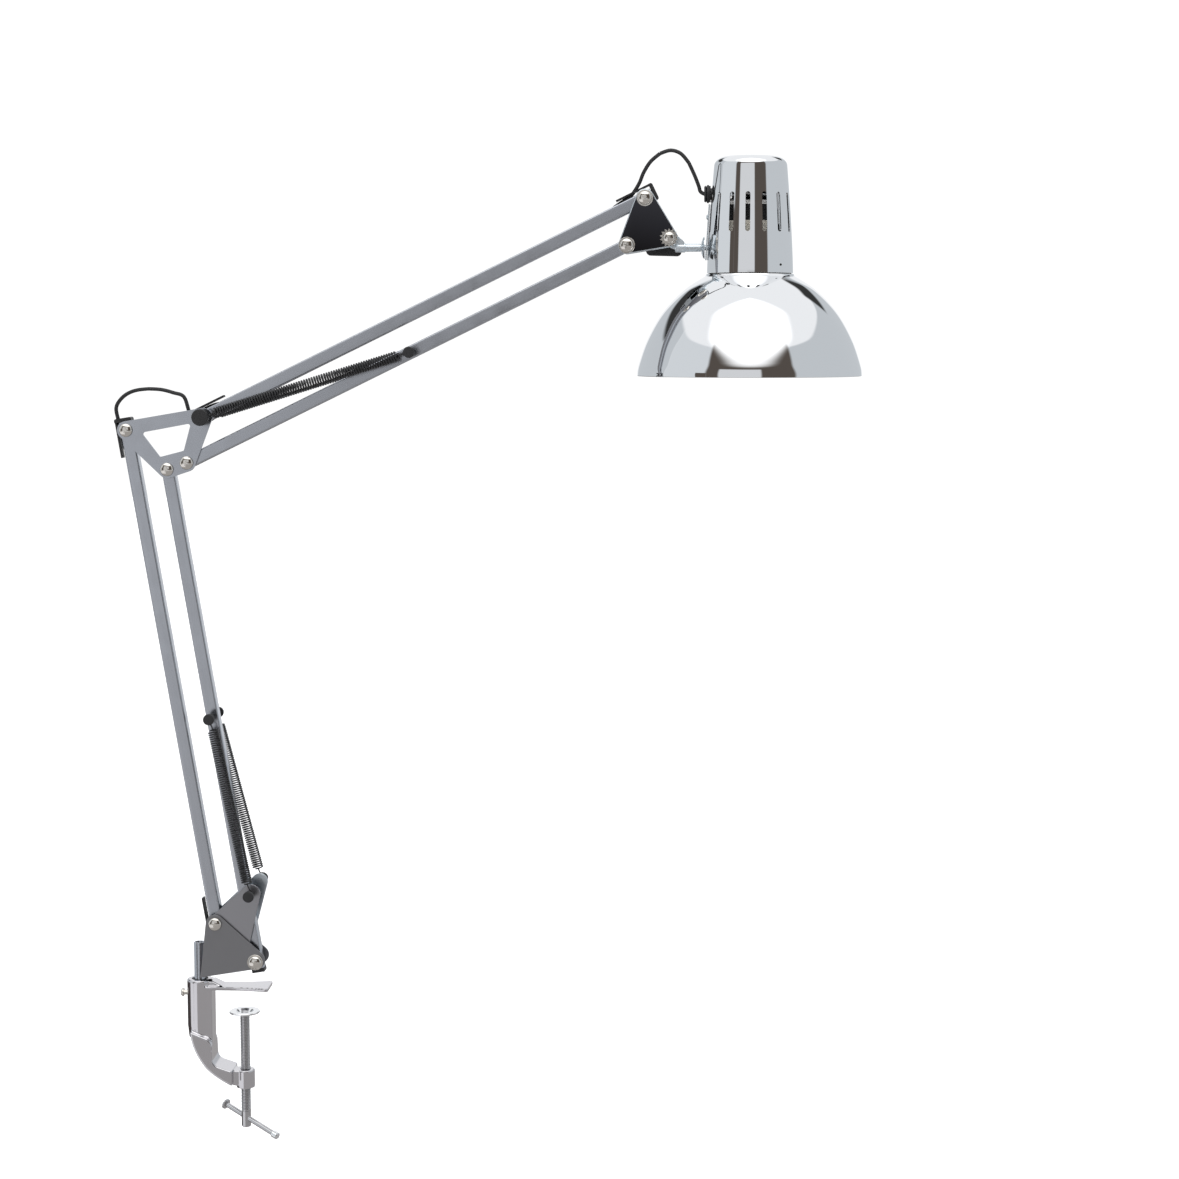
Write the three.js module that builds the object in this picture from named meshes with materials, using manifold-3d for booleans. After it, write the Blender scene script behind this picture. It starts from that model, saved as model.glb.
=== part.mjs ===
// Architect desk lamp: a table clamp, two spring-balanced parallelogram arms and a swivelling shade.
// Millimetres, +Z up, X to the right along the arms, Y away from the front. The origin lies on the
// underside of the clamp's fixed jaw, above the axis of the clamp screw.
import * as THREE from "three";
import { mergeVertices } from "three/addons/utils/BufferGeometryUtils.js";
import Module from "manifold-3d";

const wasm = await Module();
wasm.setup();

// ---- driving dimensions -------------------------------------------------------------------------

const GAP = 0.3;               // clearance between touching pieces
const DEGREE = Math.PI / 180;

// Arms: square tube, pivot to pivot lengths, and their angles from +X as the lamp stands
const TUBE = 10;
const TUBE_WALL = 1;
const TUBE_CORNER = 1.2;
const LOWER_LENGTH = 399;
const LOWER_ANGLE = 99.29;
const UPPER_LENGTH = 383.8;
const UPPER_ANGLE = 26.03;
const CORD_END = 6.5;          // tube beyond the pivot where a cord guide closes it
const PLAIN_END = 5.5;         // tube beyond the pivot where a flush plug closes it

// Pivots: the first one, then the links between pairs of pivots
const BASE_LEFT = { x: -21, z: 54.5 };
const LOWER_LINK = { x: 31.9, z: -30.65 };
const ELBOW_STEP = { x: 47.5, z: -25.45 };
const UPPER_LINK = { x: 13.9, z: 36 };
const TILT_STEP = { x: 18.7, z: -30.45 };

// Fasteners
const SCREW_RADIUS = 2;
const SCREW_HEAD = { radius: 5.3, height: 2.8 };
const NUT = { radius: 4.6, height: 3.2 };
const WASHER = { radius: 6.3, thickness: 0.9 };

// Sheet parts, by the distance of their faces from the arm plane
const ELBOW_SHEET = 2;
const ELBOW_RADIUS = 7;
const CHEEK_INNER = 6.3;
const SHEET = 1.5;
const BASE_INNER = 8.3;
const HEAD_RADIUS = 7;

// Springs and their pins
const SPRING_RADIUS = 4.5;
const SPRING_WIRE = 1.2;
const SPRING_OFFSET = 13;      // distance of each spring from the arm plane
const SPRING_HOOK = 9;         // from pin to the first coil
const PIN_RADIUS = 2.2;
const PIN_CAP = { radius: 4.4, height: 3.2 };
const KNOB = { radius: 6.6, height: 4.2 };
const LOWER_PIN = 200;         // along the right lower tube, from its bottom pivot
const UPPER_PIN = 197;         // along the lower one of the upper tubes, from its elbow pivot
const ANCHOR_FRONT = { x: 7.9, z: 79.2 };
const ANCHOR_BACK = { x: 12.6, z: 86.1 };

// Clamp
const JAW = { thickness: 2.8, tip: 21, tipHalf: 12.6, waist: -14, waistHalf: 8.8, corner: 2.5 };
const POST = { x: -35.8, radius: 4.5, bore: 3.2, top: 37.6, bottom: -27.7 };
const SOCKET = { radius: 10.3, top: 7.7, floor: -28, bore: 6.6 };
const SPINE_INNER = -25;       // the face that the table edge meets
const SPINE_HALF = 8.5;
const ARM_HALF = 13;
const BOSS = { radius: 7.4, top: -66.6, bottom: -81.6 };
const SET_SCREW = { z: -4, radius: 2, headRadius: 3.5, headHeight: 2.4, proud: 3 };
const CLAMP_SCREW = { radius: 4, plainRadius: 3.8, plainTop: -101.5, bottom: -114.5 };
const PAD = { top: -18.6, radius: 12.2, sheet: 1.4, dish: 1.6, dishRadius: 5.5 };
const RIVET = { radius: 2, headRadius: 3, headHeight: 0.8 };
const TOMMY = { radius: 2.05, z: -106.6, left: 21.7, right: 34.8, turn: -31.3, droop: 17 };
const TOMMY_HEAD = { radius: 4.25, height: 2.2 };
const TOMMY_COLLAR = { radius: 2.9, length: 5.5 };

// Cord and the black cord guides
const CORD_RADIUS = 1.5;
const CORD_PASSAGE = 1.9;
const GUIDE_CAP = 3;           // end cap thickness
const GUIDE_TONGUE = 21;       // tongue past the pivot
const TONGUE_INNER = 7.1;
const TONGUE_OUTER = 8.5;

// Head
const TILT_EYE = 6.2;
const ROD = { radius: 3.1, z: -7.3, collar: 4.6, end: 24.6 };
const KNUCKLE = { radius: 8.4, thickness: 4.4 };
const HEAD_AXIS = 62.4;        // from the tilt pivot to the axis of the shade
const WALL = 1.2;
const SHADE = { wall: 1.1, rim: 491.2, rimRadius: 87.4, top: 569.4, hole: 21, neck: 33 };
const CAP = { bottom: 569.8, bottomRadius: 33.4, top: 658.9, shoulder: 651.4, topRadius: 28.3 };
const SLOT = { count: 15, width: 3.7, bottom: 600.8, top: 630.8, first: -4.8 };
const STRIP = { width: 9, thickness: 1.2, bottom: 580, top: 622.4 };
const GRIP = { z: 630.4, radius: 7, length: 5, neck: 4.6, inside: 4 };
const HOLDER = { radius: 19, top: 628, skirt: 548, bore: 13.7, boreTop: 600, flange: 1.5 };
const RING = { radius: 26, height: 5 };

// ---- points worked out from the dimensions ------------------------------------------------------

const add = (a, b) => ({ x: a.x + b.x, z: a.z + b.z });
const along = (from, angle, length) => ({
  x: from.x + length * Math.cos(angle * DEGREE),
  z: from.z + length * Math.sin(angle * DEGREE),
});
const distance = (a, b) => Math.hypot(b.x - a.x, b.z - a.z);
const heading = (a, b) => Math.atan2(b.z - a.z, b.x - a.x) / DEGREE;

const BASE_RIGHT = add(BASE_LEFT, LOWER_LINK);
const ELBOW_LEFT = along(BASE_LEFT, LOWER_ANGLE, LOWER_LENGTH);
const ELBOW_MIDDLE = add(ELBOW_LEFT, LOWER_LINK);
const ELBOW_RIGHT = add(ELBOW_LEFT, ELBOW_STEP);
const ELBOW_TOP = add(ELBOW_RIGHT, UPPER_LINK);
const HEAD_BOTTOM = along(ELBOW_RIGHT, UPPER_ANGLE, UPPER_LENGTH);
const HEAD_TOP = add(HEAD_BOTTOM, UPPER_LINK);
const TILT = add(HEAD_TOP, TILT_STEP);
const LOWER_PIN_AT = along(BASE_RIGHT, LOWER_ANGLE, LOWER_PIN);
const UPPER_PIN_AT = along(ELBOW_RIGHT, UPPER_ANGLE, UPPER_PIN);
const HEAD_X = TILT.x + HEAD_AXIS;
const ROD_Z = TILT.z + ROD.z;
const HALF = TUBE / 2;

// ---- materials ----------------------------------------------------------------------------------

const finish = (color, roughness, metalness) =>
  new THREE.MeshStandardMaterial({ color, roughness, metalness });
const CHROME = finish(0xd5d8dc, 0.08, 1);
const SATIN = finish(0x9aa0a8, 0.35, 0.9);
const DARK_STEEL = finish(0x6d6f71, 0.4, 0.85);
const NICKEL = finish(0xc9c4bb, 0.22, 1);
const ZINC = finish(0xc8d2d8, 0.3, 0.95);
const BLACK = finish(0x161616, 0.55, 0);
const SPRING_BLACK = finish(0x1b1b1c, 0.35, 0.6);
const PORCELAIN = finish(0xd8d2c4, 0.45, 0);

// ---- solids -------------------------------------------------------------------------------------

// A geometry with merged vertices, no collapsed triangles and its faces pointing out
function closed(geometry) {
  const bare = geometry.index ? geometry.toNonIndexed() : geometry.clone();
  bare.deleteAttribute("normal");
  bare.deleteAttribute("uv");
  const merged = mergeVertices(bare, 1e-4);
  const index = merged.index.array;
  const position = merged.attributes.position;
  const corners = [new THREE.Vector3(), new THREE.Vector3(), new THREE.Vector3()];
  const kept = [];
  let volume = 0;
  for (let i = 0; i < index.length; i += 3) {
    const [a, b, c] = index.slice(i, i + 3);
    if (a === b || b === c || c === a) continue;
    kept.push([a, b, c]);
    [a, b, c].forEach((vertex, k) => corners[k].fromBufferAttribute(position, vertex));
    volume += corners[0].dot(corners[1].clone().cross(corners[2]));
  }
  const facing = volume > 0 ? kept : kept.map(([a, b, c]) => [a, c, b]);
  merged.setIndex(facing.flat());
  return merged;
}

function toManifold(geometry) {
  const clean = closed(geometry);
  return new wasm.Manifold(new wasm.Mesh({
    numProp: 3,
    vertProperties: new Float32Array(clean.attributes.position.array),
    triVerts: new Uint32Array(clean.index.array),
  }));
}

function fromManifold(manifold) {
  const mesh = manifold.getMesh();
  const geometry = new THREE.BufferGeometry();
  geometry.setAttribute("position", new THREE.BufferAttribute(mesh.vertProperties, 3));
  geometry.setIndex(new THREE.BufferAttribute(mesh.triVerts, 1));
  return geometry;
}

// The union of some geometries, less some others
function shaped(parts, cuts = []) {
  let body = toManifold(parts[0]);
  for (const part of parts.slice(1)) body = body.add(toManifold(part));
  for (const cut of cuts) body = body.subtract(toManifold(cut));
  return fromManifold(body);
}

const box = (x0, x1, y0, y1, z0, z1) =>
  new THREE.BoxGeometry(x1 - x0, y1 - y0, z1 - z0)
    .translate((x0 + x1) / 2, (y0 + y1) / 2, (z0 + z1) / 2);

// Turned pieces: a profile of [radius, place] pairs about Y, Z or X through the given point
const points = (profile) => profile.map(([radius, place]) => new THREE.Vector2(radius, place));
const turnedY = (profile, at, segments = 16) =>
  new THREE.LatheGeometry(points(profile), segments).translate(at.x, 0, at.z);
const turnedZ = (profile, x = 0, segments = 24) =>
  new THREE.LatheGeometry(points(profile), segments).rotateX(Math.PI / 2).translate(x, 0, 0);
const turnedX = (profile, z = 0, segments = 16) =>
  new THREE.LatheGeometry(points(profile), segments).rotateZ(-Math.PI / 2).translate(0, 0, z);
const pinY = (at, radius, y0, y1, segments = 16) =>
  turnedY([[0, y0], [radius, y0], [radius, y1], [0, y1]], at, segments);
const pinX = (radius, x0, x1, z = 0, segments = 16) =>
  turnedX([[0, x0], [radius, x0], [radius, x1], [0, x1]], z, segments);
const pinZ = (x, radius, z0, z1, segments = 24) =>
  turnedZ([[0, z0], [radius, z0], [radius, z1], [0, z1]], x, segments);

// A sheet with its outline in the XZ plane, between two places along Y
const sheet = (outline, y0, y1) =>
  new THREE.ExtrudeGeometry(outline, { depth: y1 - y0, bevelEnabled: false, curveSegments: 3 })
    .rotateX(Math.PI / 2)
    .translate(0, y1, 0);

// A plate with its outline in the XY plane, between two heights
const plate = (outline, z0, z1) =>
  new THREE.ExtrudeGeometry(outline, { depth: z1 - z0, bevelEnabled: false, curveSegments: 4 })
    .translate(0, 0, z0);

// An outline that goes counter-clockwise round some circles; radius 0 is a plain corner
function around(circles) {
  const outline = new THREE.Shape();
  const count = circles.length;
  const leave = circles.map((from, i) => {
    const to = circles[(i + 1) % count];
    const length = distance(from, to);
    const forward = { x: (to.x - from.x) / length, z: (to.z - from.z) / length };
    const lean = Math.asin((from.r - to.r) / length);
    const normal = {
      x: forward.z * Math.cos(lean) + forward.x * Math.sin(lean),
      z: -forward.x * Math.cos(lean) + forward.z * Math.sin(lean),
    };
    return Math.atan2(normal.z, normal.x);
  });
  circles.forEach((circle, i) => {
    const arrive = leave[(i + count - 1) % count];
    const startX = circle.x + circle.r * Math.cos(arrive);
    const startZ = circle.z + circle.r * Math.sin(arrive);
    if (i === 0) outline.moveTo(startX, startZ);
    else outline.lineTo(startX, startZ);
    if (circle.r > 0) outline.absarc(circle.x, circle.z, circle.r, arrive, leave[i], false);
  });
  outline.closePath();
  return outline;
}

const polygon = (corners) => new THREE.Shape(corners.map(([x, z]) => new THREE.Vector2(x, z)));

// A round tube along a smooth curve through the given points
function tubeAlong(route, radius, steps, sides = 8) {
  const ring = new THREE.Shape();
  for (let i = 0; i < sides; i += 1) {
    const angle = (i / sides) * 2 * Math.PI;
    const place = [radius * Math.cos(angle), radius * Math.sin(angle)];
    if (i === 0) ring.moveTo(...place);
    else ring.lineTo(...place);
  }
  ring.closePath();
  const path = new THREE.CatmullRomCurve3(route, false, "centripetal");
  return new THREE.ExtrudeGeometry(ring, { extrudePath: path, steps, bevelEnabled: false });
}

// ---- scene graph --------------------------------------------------------------------------------

const lamp = new THREE.Group();

function piece(name, geometry, material, parent = lamp) {
  const mesh = new THREE.Mesh(closed(geometry), material);
  mesh.name = name;
  parent.add(mesh);
  return mesh;
}

// A group whose +X runs along a tube and whose origin is at a pivot
function frameAt(pivot, angle) {
  const group = new THREE.Group();
  group.position.set(pivot.x, 0, pivot.z);
  group.rotation.y = -angle * DEGREE;
  lamp.add(group);
  group.updateMatrixWorld(true);
  return group;
}

const into = (geometry, group) => geometry.clone().applyMatrix4(group.matrixWorld.clone().invert());
const ORIGIN = { x: 0, z: 0 };

// ---- fasteners ----------------------------------------------------------------------------------

// A domed screw with its head towards the front
function screw(name, at, seat, tip, washer = false) {
  const under = -seat - GAP;
  const crown = under - SCREW_HEAD.height;
  const head = washer ? under - WASHER.thickness : under;
  const top = head - SCREW_HEAD.height;
  const profile = [
    [0, tip],
    [SCREW_RADIUS, tip],
    [SCREW_RADIUS, under],
    ...(washer ? [[WASHER.radius, under], [WASHER.radius, head]] : []),
    [SCREW_HEAD.radius, head],
    [SCREW_HEAD.radius * 0.93, head - SCREW_HEAD.height * 0.45],
    [SCREW_HEAD.radius * 0.6, head - SCREW_HEAD.height * 0.85],
    [0, washer ? top : crown],
  ];
  piece(name, turnedY(profile, at), NICKEL);
}

// A hexagon nut on the back of a screw
function nut(name, at, seat) {
  const hexagon = turnedY([
    [0, seat + GAP],
    [NUT.radius, seat + GAP],
    [NUT.radius, seat + GAP + NUT.height],
    [0, seat + GAP + NUT.height],
  ], at, 6);
  const hole = pinY(at, SCREW_RADIUS + GAP, seat, seat + NUT.height + 1);
  piece(name, shaped([hexagon], [hole]), NICKEL);
}

const screwTip = (seat) => seat + GAP + NUT.height + 1.2;
const screwHole = (at) => pinY(at, SCREW_RADIUS + GAP, -30, 30, 12);

// ---- clamp --------------------------------------------------------------------------------------

function clampBody() {
  const jawBack = POST.x;
  const jaw = new THREE.Shape();
  jaw.moveTo(jawBack, -SOCKET.radius + 1);
  jaw.quadraticCurveTo(-25, -JAW.waistHalf, JAW.waist, -JAW.waistHalf);
  jaw.quadraticCurveTo(4, -JAW.waistHalf, JAW.tip - JAW.corner, -JAW.tipHalf);
  jaw.quadraticCurveTo(JAW.tip, -JAW.tipHalf, JAW.tip, -JAW.tipHalf + JAW.corner);
  jaw.lineTo(JAW.tip, JAW.tipHalf - JAW.corner);
  jaw.quadraticCurveTo(JAW.tip, JAW.tipHalf, JAW.tip - JAW.corner, JAW.tipHalf);
  jaw.quadraticCurveTo(4, JAW.waistHalf, JAW.waist, JAW.waistHalf);
  jaw.quadraticCurveTo(-25, JAW.waistHalf, jawBack, SOCKET.radius - 1);
  jaw.closePath();

  const spine = polygon([
    [POST.x, JAW.thickness],
    [POST.x, -46],
    [SPINE_INNER, -60],
    [SPINE_INNER, JAW.thickness],
  ]);
  const collar = polygon([
    [POST.x, JAW.thickness - 1],
    [-14, JAW.thickness - 1],
    [-24, SOCKET.top - 1],
    [POST.x, SOCKET.top - 0.4],
  ]);

  // The lower arm: its back is a smooth sweep, its front step falls beside the spine
  const arm = new THREE.Shape();
  arm.moveTo(-42.2, -33.6);
  arm.bezierCurveTo(-41.4, -44, -37.5, -53, -30.5, -62.2);
  arm.bezierCurveTo(-26, -67.6, -18, -73, -9, -77.6);
  arm.lineTo(-9, -65.6);
  arm.lineTo(-19.5, -62.2);
  arm.quadraticCurveTo(-24.3, -60.6, -24.6, -55.5);
  arm.lineTo(-24.8, -46.5);
  arm.quadraticCurveTo(-24.9, -41, -29, -38.8);
  arm.lineTo(-42.2, -33.6);

  const bridge = polygon([
    [-24, -64],
    [-12, -66.6],
    [0, BOSS.top],
    [0, BOSS.bottom + 2],
    [-9, -79],
    [-20, -72],
  ]);

  const bodies = [
    turnedZ([
      [0, -40],
      [SOCKET.radius - 1, -40],
      [SOCKET.radius, -30],
      [SOCKET.radius, SOCKET.top - 0.6],
      [SOCKET.radius - 0.6, SOCKET.top],
      [0, SOCKET.top],
    ], POST.x),
    sheet(spine, -SPINE_HALF, SPINE_HALF),
    sheet(collar, -SPINE_HALF + 1.5, SPINE_HALF - 1.5),
    plate(jaw, 0, JAW.thickness),
    sheet(arm, -ARM_HALF, ARM_HALF),
    sheet(bridge, -BOSS.radius + 1, BOSS.radius - 1),
    pinZ(0, BOSS.radius, BOSS.bottom, BOSS.top),
  ];
  const cuts = [
    pinZ(POST.x, SOCKET.bore, SOCKET.floor, SOCKET.top + 1),
    pinZ(0, CLAMP_SCREW.radius + GAP, BOSS.bottom - 5, BOSS.top + 5),
    pinX(SET_SCREW.radius + GAP, POST.x - SOCKET.radius - 2, POST.x - SOCKET.bore + 1, SET_SCREW.z),
  ];
  piece("clamp_body", shaped(bodies, cuts), CHROME);
}

function clampFittings() {
  const bushOuter = SOCKET.bore - GAP;
  const bushInner = POST.radius + GAP;
  piece("socket_bush", turnedZ([
    [bushInner, POST.bottom],
    [bushOuter, POST.bottom],
    [bushOuter, SOCKET.top],
    [bushInner, SOCKET.top],
    [bushInner, POST.bottom],
  ], POST.x), BLACK);

  const face = POST.x - SOCKET.radius - SET_SCREW.proud;
  piece("clamp_set_screw", turnedX([
    [0, face - SET_SCREW.headHeight],
    [SET_SCREW.headRadius * 0.7, face - SET_SCREW.headHeight],
    [SET_SCREW.headRadius, face - SET_SCREW.headHeight * 0.5],
    [SET_SCREW.headRadius, face],
    [SET_SCREW.radius, face],
    [SET_SCREW.radius, POST.x - bushOuter - GAP],
    [0, POST.x - bushOuter - GAP],
  ], SET_SCREW.z), NICKEL);
}

function clampScrew() {
  const dished = PAD.top - PAD.dish;
  const under = dished - PAD.sheet;
  const seat = under - GAP;
  piece("pressure_pad", turnedZ([
    [RIVET.radius + GAP, dished],
    [RIVET.radius + GAP, under],
    [PAD.dishRadius, under],
    [PAD.dishRadius + 2, PAD.top - PAD.sheet],
    [PAD.radius, PAD.top - PAD.sheet],
    [PAD.radius, PAD.top],
    [PAD.dishRadius + 1.6, PAD.top],
    [PAD.dishRadius - 0.4, dished],
    [RIVET.radius + GAP, dished],
  ]), CHROME);

  const rod = turnedZ([
    [0, CLAMP_SCREW.bottom],
    [CLAMP_SCREW.plainRadius - 0.8, CLAMP_SCREW.bottom],
    [CLAMP_SCREW.plainRadius, CLAMP_SCREW.bottom + 0.8],
    [CLAMP_SCREW.plainRadius, CLAMP_SCREW.plainTop],
    [CLAMP_SCREW.radius, CLAMP_SCREW.plainTop + 0.6],
    [CLAMP_SCREW.radius, seat],
    [RIVET.radius, seat],
    [RIVET.radius, dished + GAP],
    [RIVET.headRadius, dished + GAP],
    [RIVET.headRadius - 0.6, dished + GAP + RIVET.headHeight],
    [0, dished + GAP + RIVET.headHeight],
  ]);
  const tommy = new THREE.Group();
  tommy.position.set(0, 0, TOMMY.z);
  tommy.rotation.order = "ZYX";
  tommy.rotation.z = TOMMY.turn * DEGREE;
  tommy.rotation.y = TOMMY.droop * DEGREE;
  lamp.add(tommy);
  tommy.updateMatrixWorld(true);
  const hole = pinX(TOMMY.radius + GAP, -12, 12).applyMatrix4(tommy.matrixWorld);
  piece("clamp_screw", shaped([rod], [hole]), NICKEL);

  const stem = TOMMY.radius - 0.7;
  const collarStart = TOMMY.right - TOMMY_COLLAR.length;
  piece("tommy_bar", turnedX([
    [0, -TOMMY.left - TOMMY_HEAD.height],
    [TOMMY_HEAD.radius, -TOMMY.left - TOMMY_HEAD.height],
    [TOMMY_HEAD.radius, -TOMMY.left],
    [TOMMY.radius, -TOMMY.left],
    [TOMMY.radius, collarStart - GAP],
    [stem, collarStart - GAP],
    [stem, TOMMY.right - 1.5],
    [0, TOMMY.right - 1.5],
  ]), NICKEL, tommy);
  piece("tommy_bar_collar", turnedX([
    [stem + GAP, collarStart],
    [TOMMY_COLLAR.radius, collarStart],
    [TOMMY_COLLAR.radius, TOMMY.right],
    [0, TOMMY.right],
    [0, TOMMY.right - 1.5 + GAP],
    [stem + GAP, TOMMY.right - 1.5 + GAP],
    [stem + GAP, collarStart],
  ]), CHROME, tommy);
}

// ---- base ---------------------------------------------------------------------------------------

function base() {
  piece("base_post", turnedZ([
    [POST.bore, POST.bottom],
    [POST.radius, POST.bottom],
    [POST.radius, POST.top],
    [POST.bore, POST.top],
    [POST.bore, POST.bottom],
  ], POST.x, 24), SATIN);

  // A folded channel: two side plates joined by a web that backs onto the post
  const webLeft = POST.x + POST.radius + GAP;
  const foot = SOCKET.top + 3;
  const side = around([
    { x: webLeft, z: foot, r: 0 },
    { x: BASE_RIGHT.x + 0.6, z: BASE_RIGHT.z + 1.6, r: 7.2 },
    { x: BASE_LEFT.x, z: BASE_LEFT.z, r: 7.6 },
  ]);
  const outer = BASE_INNER + SHEET;
  piece("base_bracket", shaped(
    [
      sheet(side, -outer, -BASE_INNER),
      sheet(side, BASE_INNER, outer),
      box(webLeft, webLeft + SHEET, -outer, outer, foot, POST.top),
    ],
    [screwHole(BASE_LEFT), screwHole(BASE_RIGHT)],
  ), DARK_STEEL);

  // Two cheeks carry the lower springs, one each side of the tubes
  const cheeks = { front: [-1, ANCHOR_FRONT, 7.4], back: [1, ANCHOR_BACK, 6.4] };
  for (const [place, [turn, anchor, radius]] of Object.entries(cheeks)) {
    const cheek = around([
      { x: BASE_LEFT.x + 21, z: BASE_LEFT.z - 21, r: 5 },
      { x: anchor.x, z: anchor.z, r: radius },
      { x: BASE_LEFT.x, z: BASE_LEFT.z, r: 6.2 },
    ]);
    const faces = [turn * CHEEK_INNER, turn * (CHEEK_INNER + SHEET)].sort((a, b) => a - b);
    const anchorHole = pinY(anchor, PIN_RADIUS + GAP, -30, 30, 12);
    piece(`spring_anchor_${place}`, shaped(
      [sheet(cheek, ...faces)],
      [screwHole(BASE_LEFT), anchorHole],
    ), place === "front" ? DARK_STEEL : ZINC);

    // The riveted pin: a head inside the cheek, a collar outside it and a black end cap
    const inside = CHEEK_INNER - GAP;
    const outside = CHEEK_INNER + SHEET + GAP;
    const capStart = SPRING_OFFSET + SPRING_RADIUS + GAP;
    piece(`anchor_pin_${place}`, turnedY([
      [0, turn * (inside - 0.7)],
      [PIN_RADIUS + 1.2, turn * (inside - 0.7)],
      [PIN_RADIUS + 1.2, turn * inside],
      [PIN_RADIUS, turn * inside],
      [PIN_RADIUS, turn * outside],
      [PIN_RADIUS + 1, turn * outside],
      [PIN_RADIUS + 1, turn * (outside + 1)],
      [PIN_RADIUS, turn * (outside + 1)],
      [PIN_RADIUS, turn * capStart],
      [PIN_CAP.radius, turn * capStart],
      [PIN_CAP.radius, turn * (capStart + PIN_CAP.height)],
      [0, turn * (capStart + PIN_CAP.height)],
    ], anchor), BLACK);
  }

  const seat = BASE_INNER + SHEET;
  screw("base_left_screw", BASE_LEFT, seat, screwTip(seat));
  nut("base_left_nut", BASE_LEFT, seat);
  screw("base_right_screw", BASE_RIGHT, seat, screwTip(seat), true);
  nut("base_right_nut", BASE_RIGHT, seat);
}

// ---- cord ---------------------------------------------------------------------------------------

// Points beside a tube: along it from a pivot, and outwards from its middle line
function beside(pivot, angle, places) {
  const side = angle + 90;
  return places.map(([forward, out]) => {
    const at = along(along(pivot, angle, forward), side, out);
    return new THREE.Vector3(at.x, 0, at.z);
  });
}

const free = (pivot, places) =>
  places.map(([x, z]) => new THREE.Vector3(pivot.x + x, 0, pivot.z + z));

const ELBOW_ROUTE = [
  ...beside(ELBOW_LEFT, LOWER_ANGLE, [[-46, 0], [-38, 0], [-30, 0.4], [-22, 2.2], [-14, 4.6]]),
  ...beside(ELBOW_LEFT, LOWER_ANGLE, [[-6, 5.2], [2, 5.3], [10, 6.2]]),
  ...free(ELBOW_LEFT, [[-8.9, 17.5], [-5.2, 24], [0.6, 28.6], [8, 31.2], [17, 32.2]]),
  ...free(ELBOW_LEFT, [[27, 31.6], [36.5, 28.8], [45, 25.2]]),
  ...beside(ELBOW_TOP, UPPER_ANGLE, [[-11, 6.4], [-4, 5.3], [4, 5.3], [11, 4.9]]),
  ...beside(ELBOW_TOP, UPPER_ANGLE, [[18, 3], [25, 0.8], [32, 0], [42, 0]]),
];

const HEAD_ROUTE = [
  ...beside(HEAD_TOP, UPPER_ANGLE, [[-60, 0], [-50, 0], [-40, 0.3], [-31, 2.2], [-23, 4.4]]),
  ...beside(HEAD_TOP, UPPER_ANGLE, [[-15.5, 5.4], [-8.5, 6.6]]),
  ...free(HEAD_TOP, [[-4.6, 11.4], [-1.2, 19.6], [4.2, 28], [11.4, 34.2], [19.6, 36.6]]),
  ...free(HEAD_TOP, [[27.4, 34], [33.6, 27], [38, 17.6], [41.4, 9]]),
];

function cord() {
  const entry = HEAD_X - CAP.topRadius;
  const headRoute = [
    ...HEAD_ROUTE,
    new THREE.Vector3(entry - 10.3, 0, GRIP.z + 2.2),
    new THREE.Vector3(entry - 7.3, 0, GRIP.z + 0.2),
    new THREE.Vector3(entry - 3, 0, GRIP.z),
    new THREE.Vector3(entry + 3, 0, GRIP.z),
  ];
  const lowerStart = beside(BASE_LEFT, LOWER_ANGLE, [[14, 0]])[0];
  const straight = (from, to) => tubeAlong([from, from.clone().lerp(to, 0.5), to], CORD_RADIUS - 0.1, 2);
  piece("lamp_cord", shaped([
    straight(lowerStart, ELBOW_ROUTE[1]),
    tubeAlong(ELBOW_ROUTE, CORD_RADIUS, 28),
    straight(ELBOW_ROUTE[ELBOW_ROUTE.length - 2], HEAD_ROUTE[1]),
    tubeAlong(headRoute, CORD_RADIUS, 30),
  ]), BLACK);
}

// ---- arms ---------------------------------------------------------------------------------------

// A square tube with rounded corners along +X, open at both ends
function squareTube(start, end) {
  const section = (half, corner) => around([
    { x: half - corner, z: -(half - corner), r: corner },
    { x: half - corner, z: half - corner, r: corner },
    { x: -(half - corner), z: half - corner, r: corner },
    { x: -(half - corner), z: -(half - corner), r: corner },
  ]);
  const ring = section(HALF, TUBE_CORNER);
  ring.holes.push(section(HALF - TUBE_WALL, TUBE_CORNER / 2));
  return new THREE.ExtrudeGeometry(ring, { depth: end - start, bevelEnabled: false, curveSegments: 2 })
    .rotateY(Math.PI / 2)
    .translate(start, 0, 0);
}

// The black guide in a tube's end: an insert, an end cap and a tongue that bridges the cord.
// "way" points out of the tube; the passage for the cord is cut through the whole piece.
function cordGuide(way, tubeEnd, pivotAt, cut) {
  const insert = HALF - TUBE_WALL - GAP;
  const face = tubeEnd + GAP;
  const tip = face + GUIDE_CAP;
  const round = 1.5;
  const hood = around([
    { x: face, z: -HALF, r: 0 },
    { x: tip - round, z: -HALF + round, r: round },
    { x: tip - round, z: TONGUE_OUTER - round, r: round },
    { x: face, z: TONGUE_OUTER, r: 0 },
  ]);
  const parts = [
    box(tubeEnd - 3.6, face + 0.5, -insert, insert, -insert, insert),
    sheet(hood, -HALF, HALF),
    box(-GUIDE_TONGUE, tip - round, -3.6, 3.6, TONGUE_INNER, TONGUE_OUTER),
  ];
  const placed = parts.map((part) =>
    (way > 0 ? part : part.rotateZ(Math.PI)).translate(pivotAt, 0, 0));
  return shaped(placed, [cut]);
}

// A plain insert that closes a tube flush
function flushPlug(way, tubeEnd, pivotAt) {
  const insert = HALF - TUBE_WALL - GAP;
  const outerFace = pivotAt + way * tubeEnd;
  const innerFace = outerFace - way * 2.6;
  return box(Math.min(outerFace, innerFace), Math.max(outerFace, innerFace),
    -insert, insert, -insert, insert);
}

const passage = (route, steps) => tubeAlong(route, CORD_PASSAGE, steps);

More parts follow.
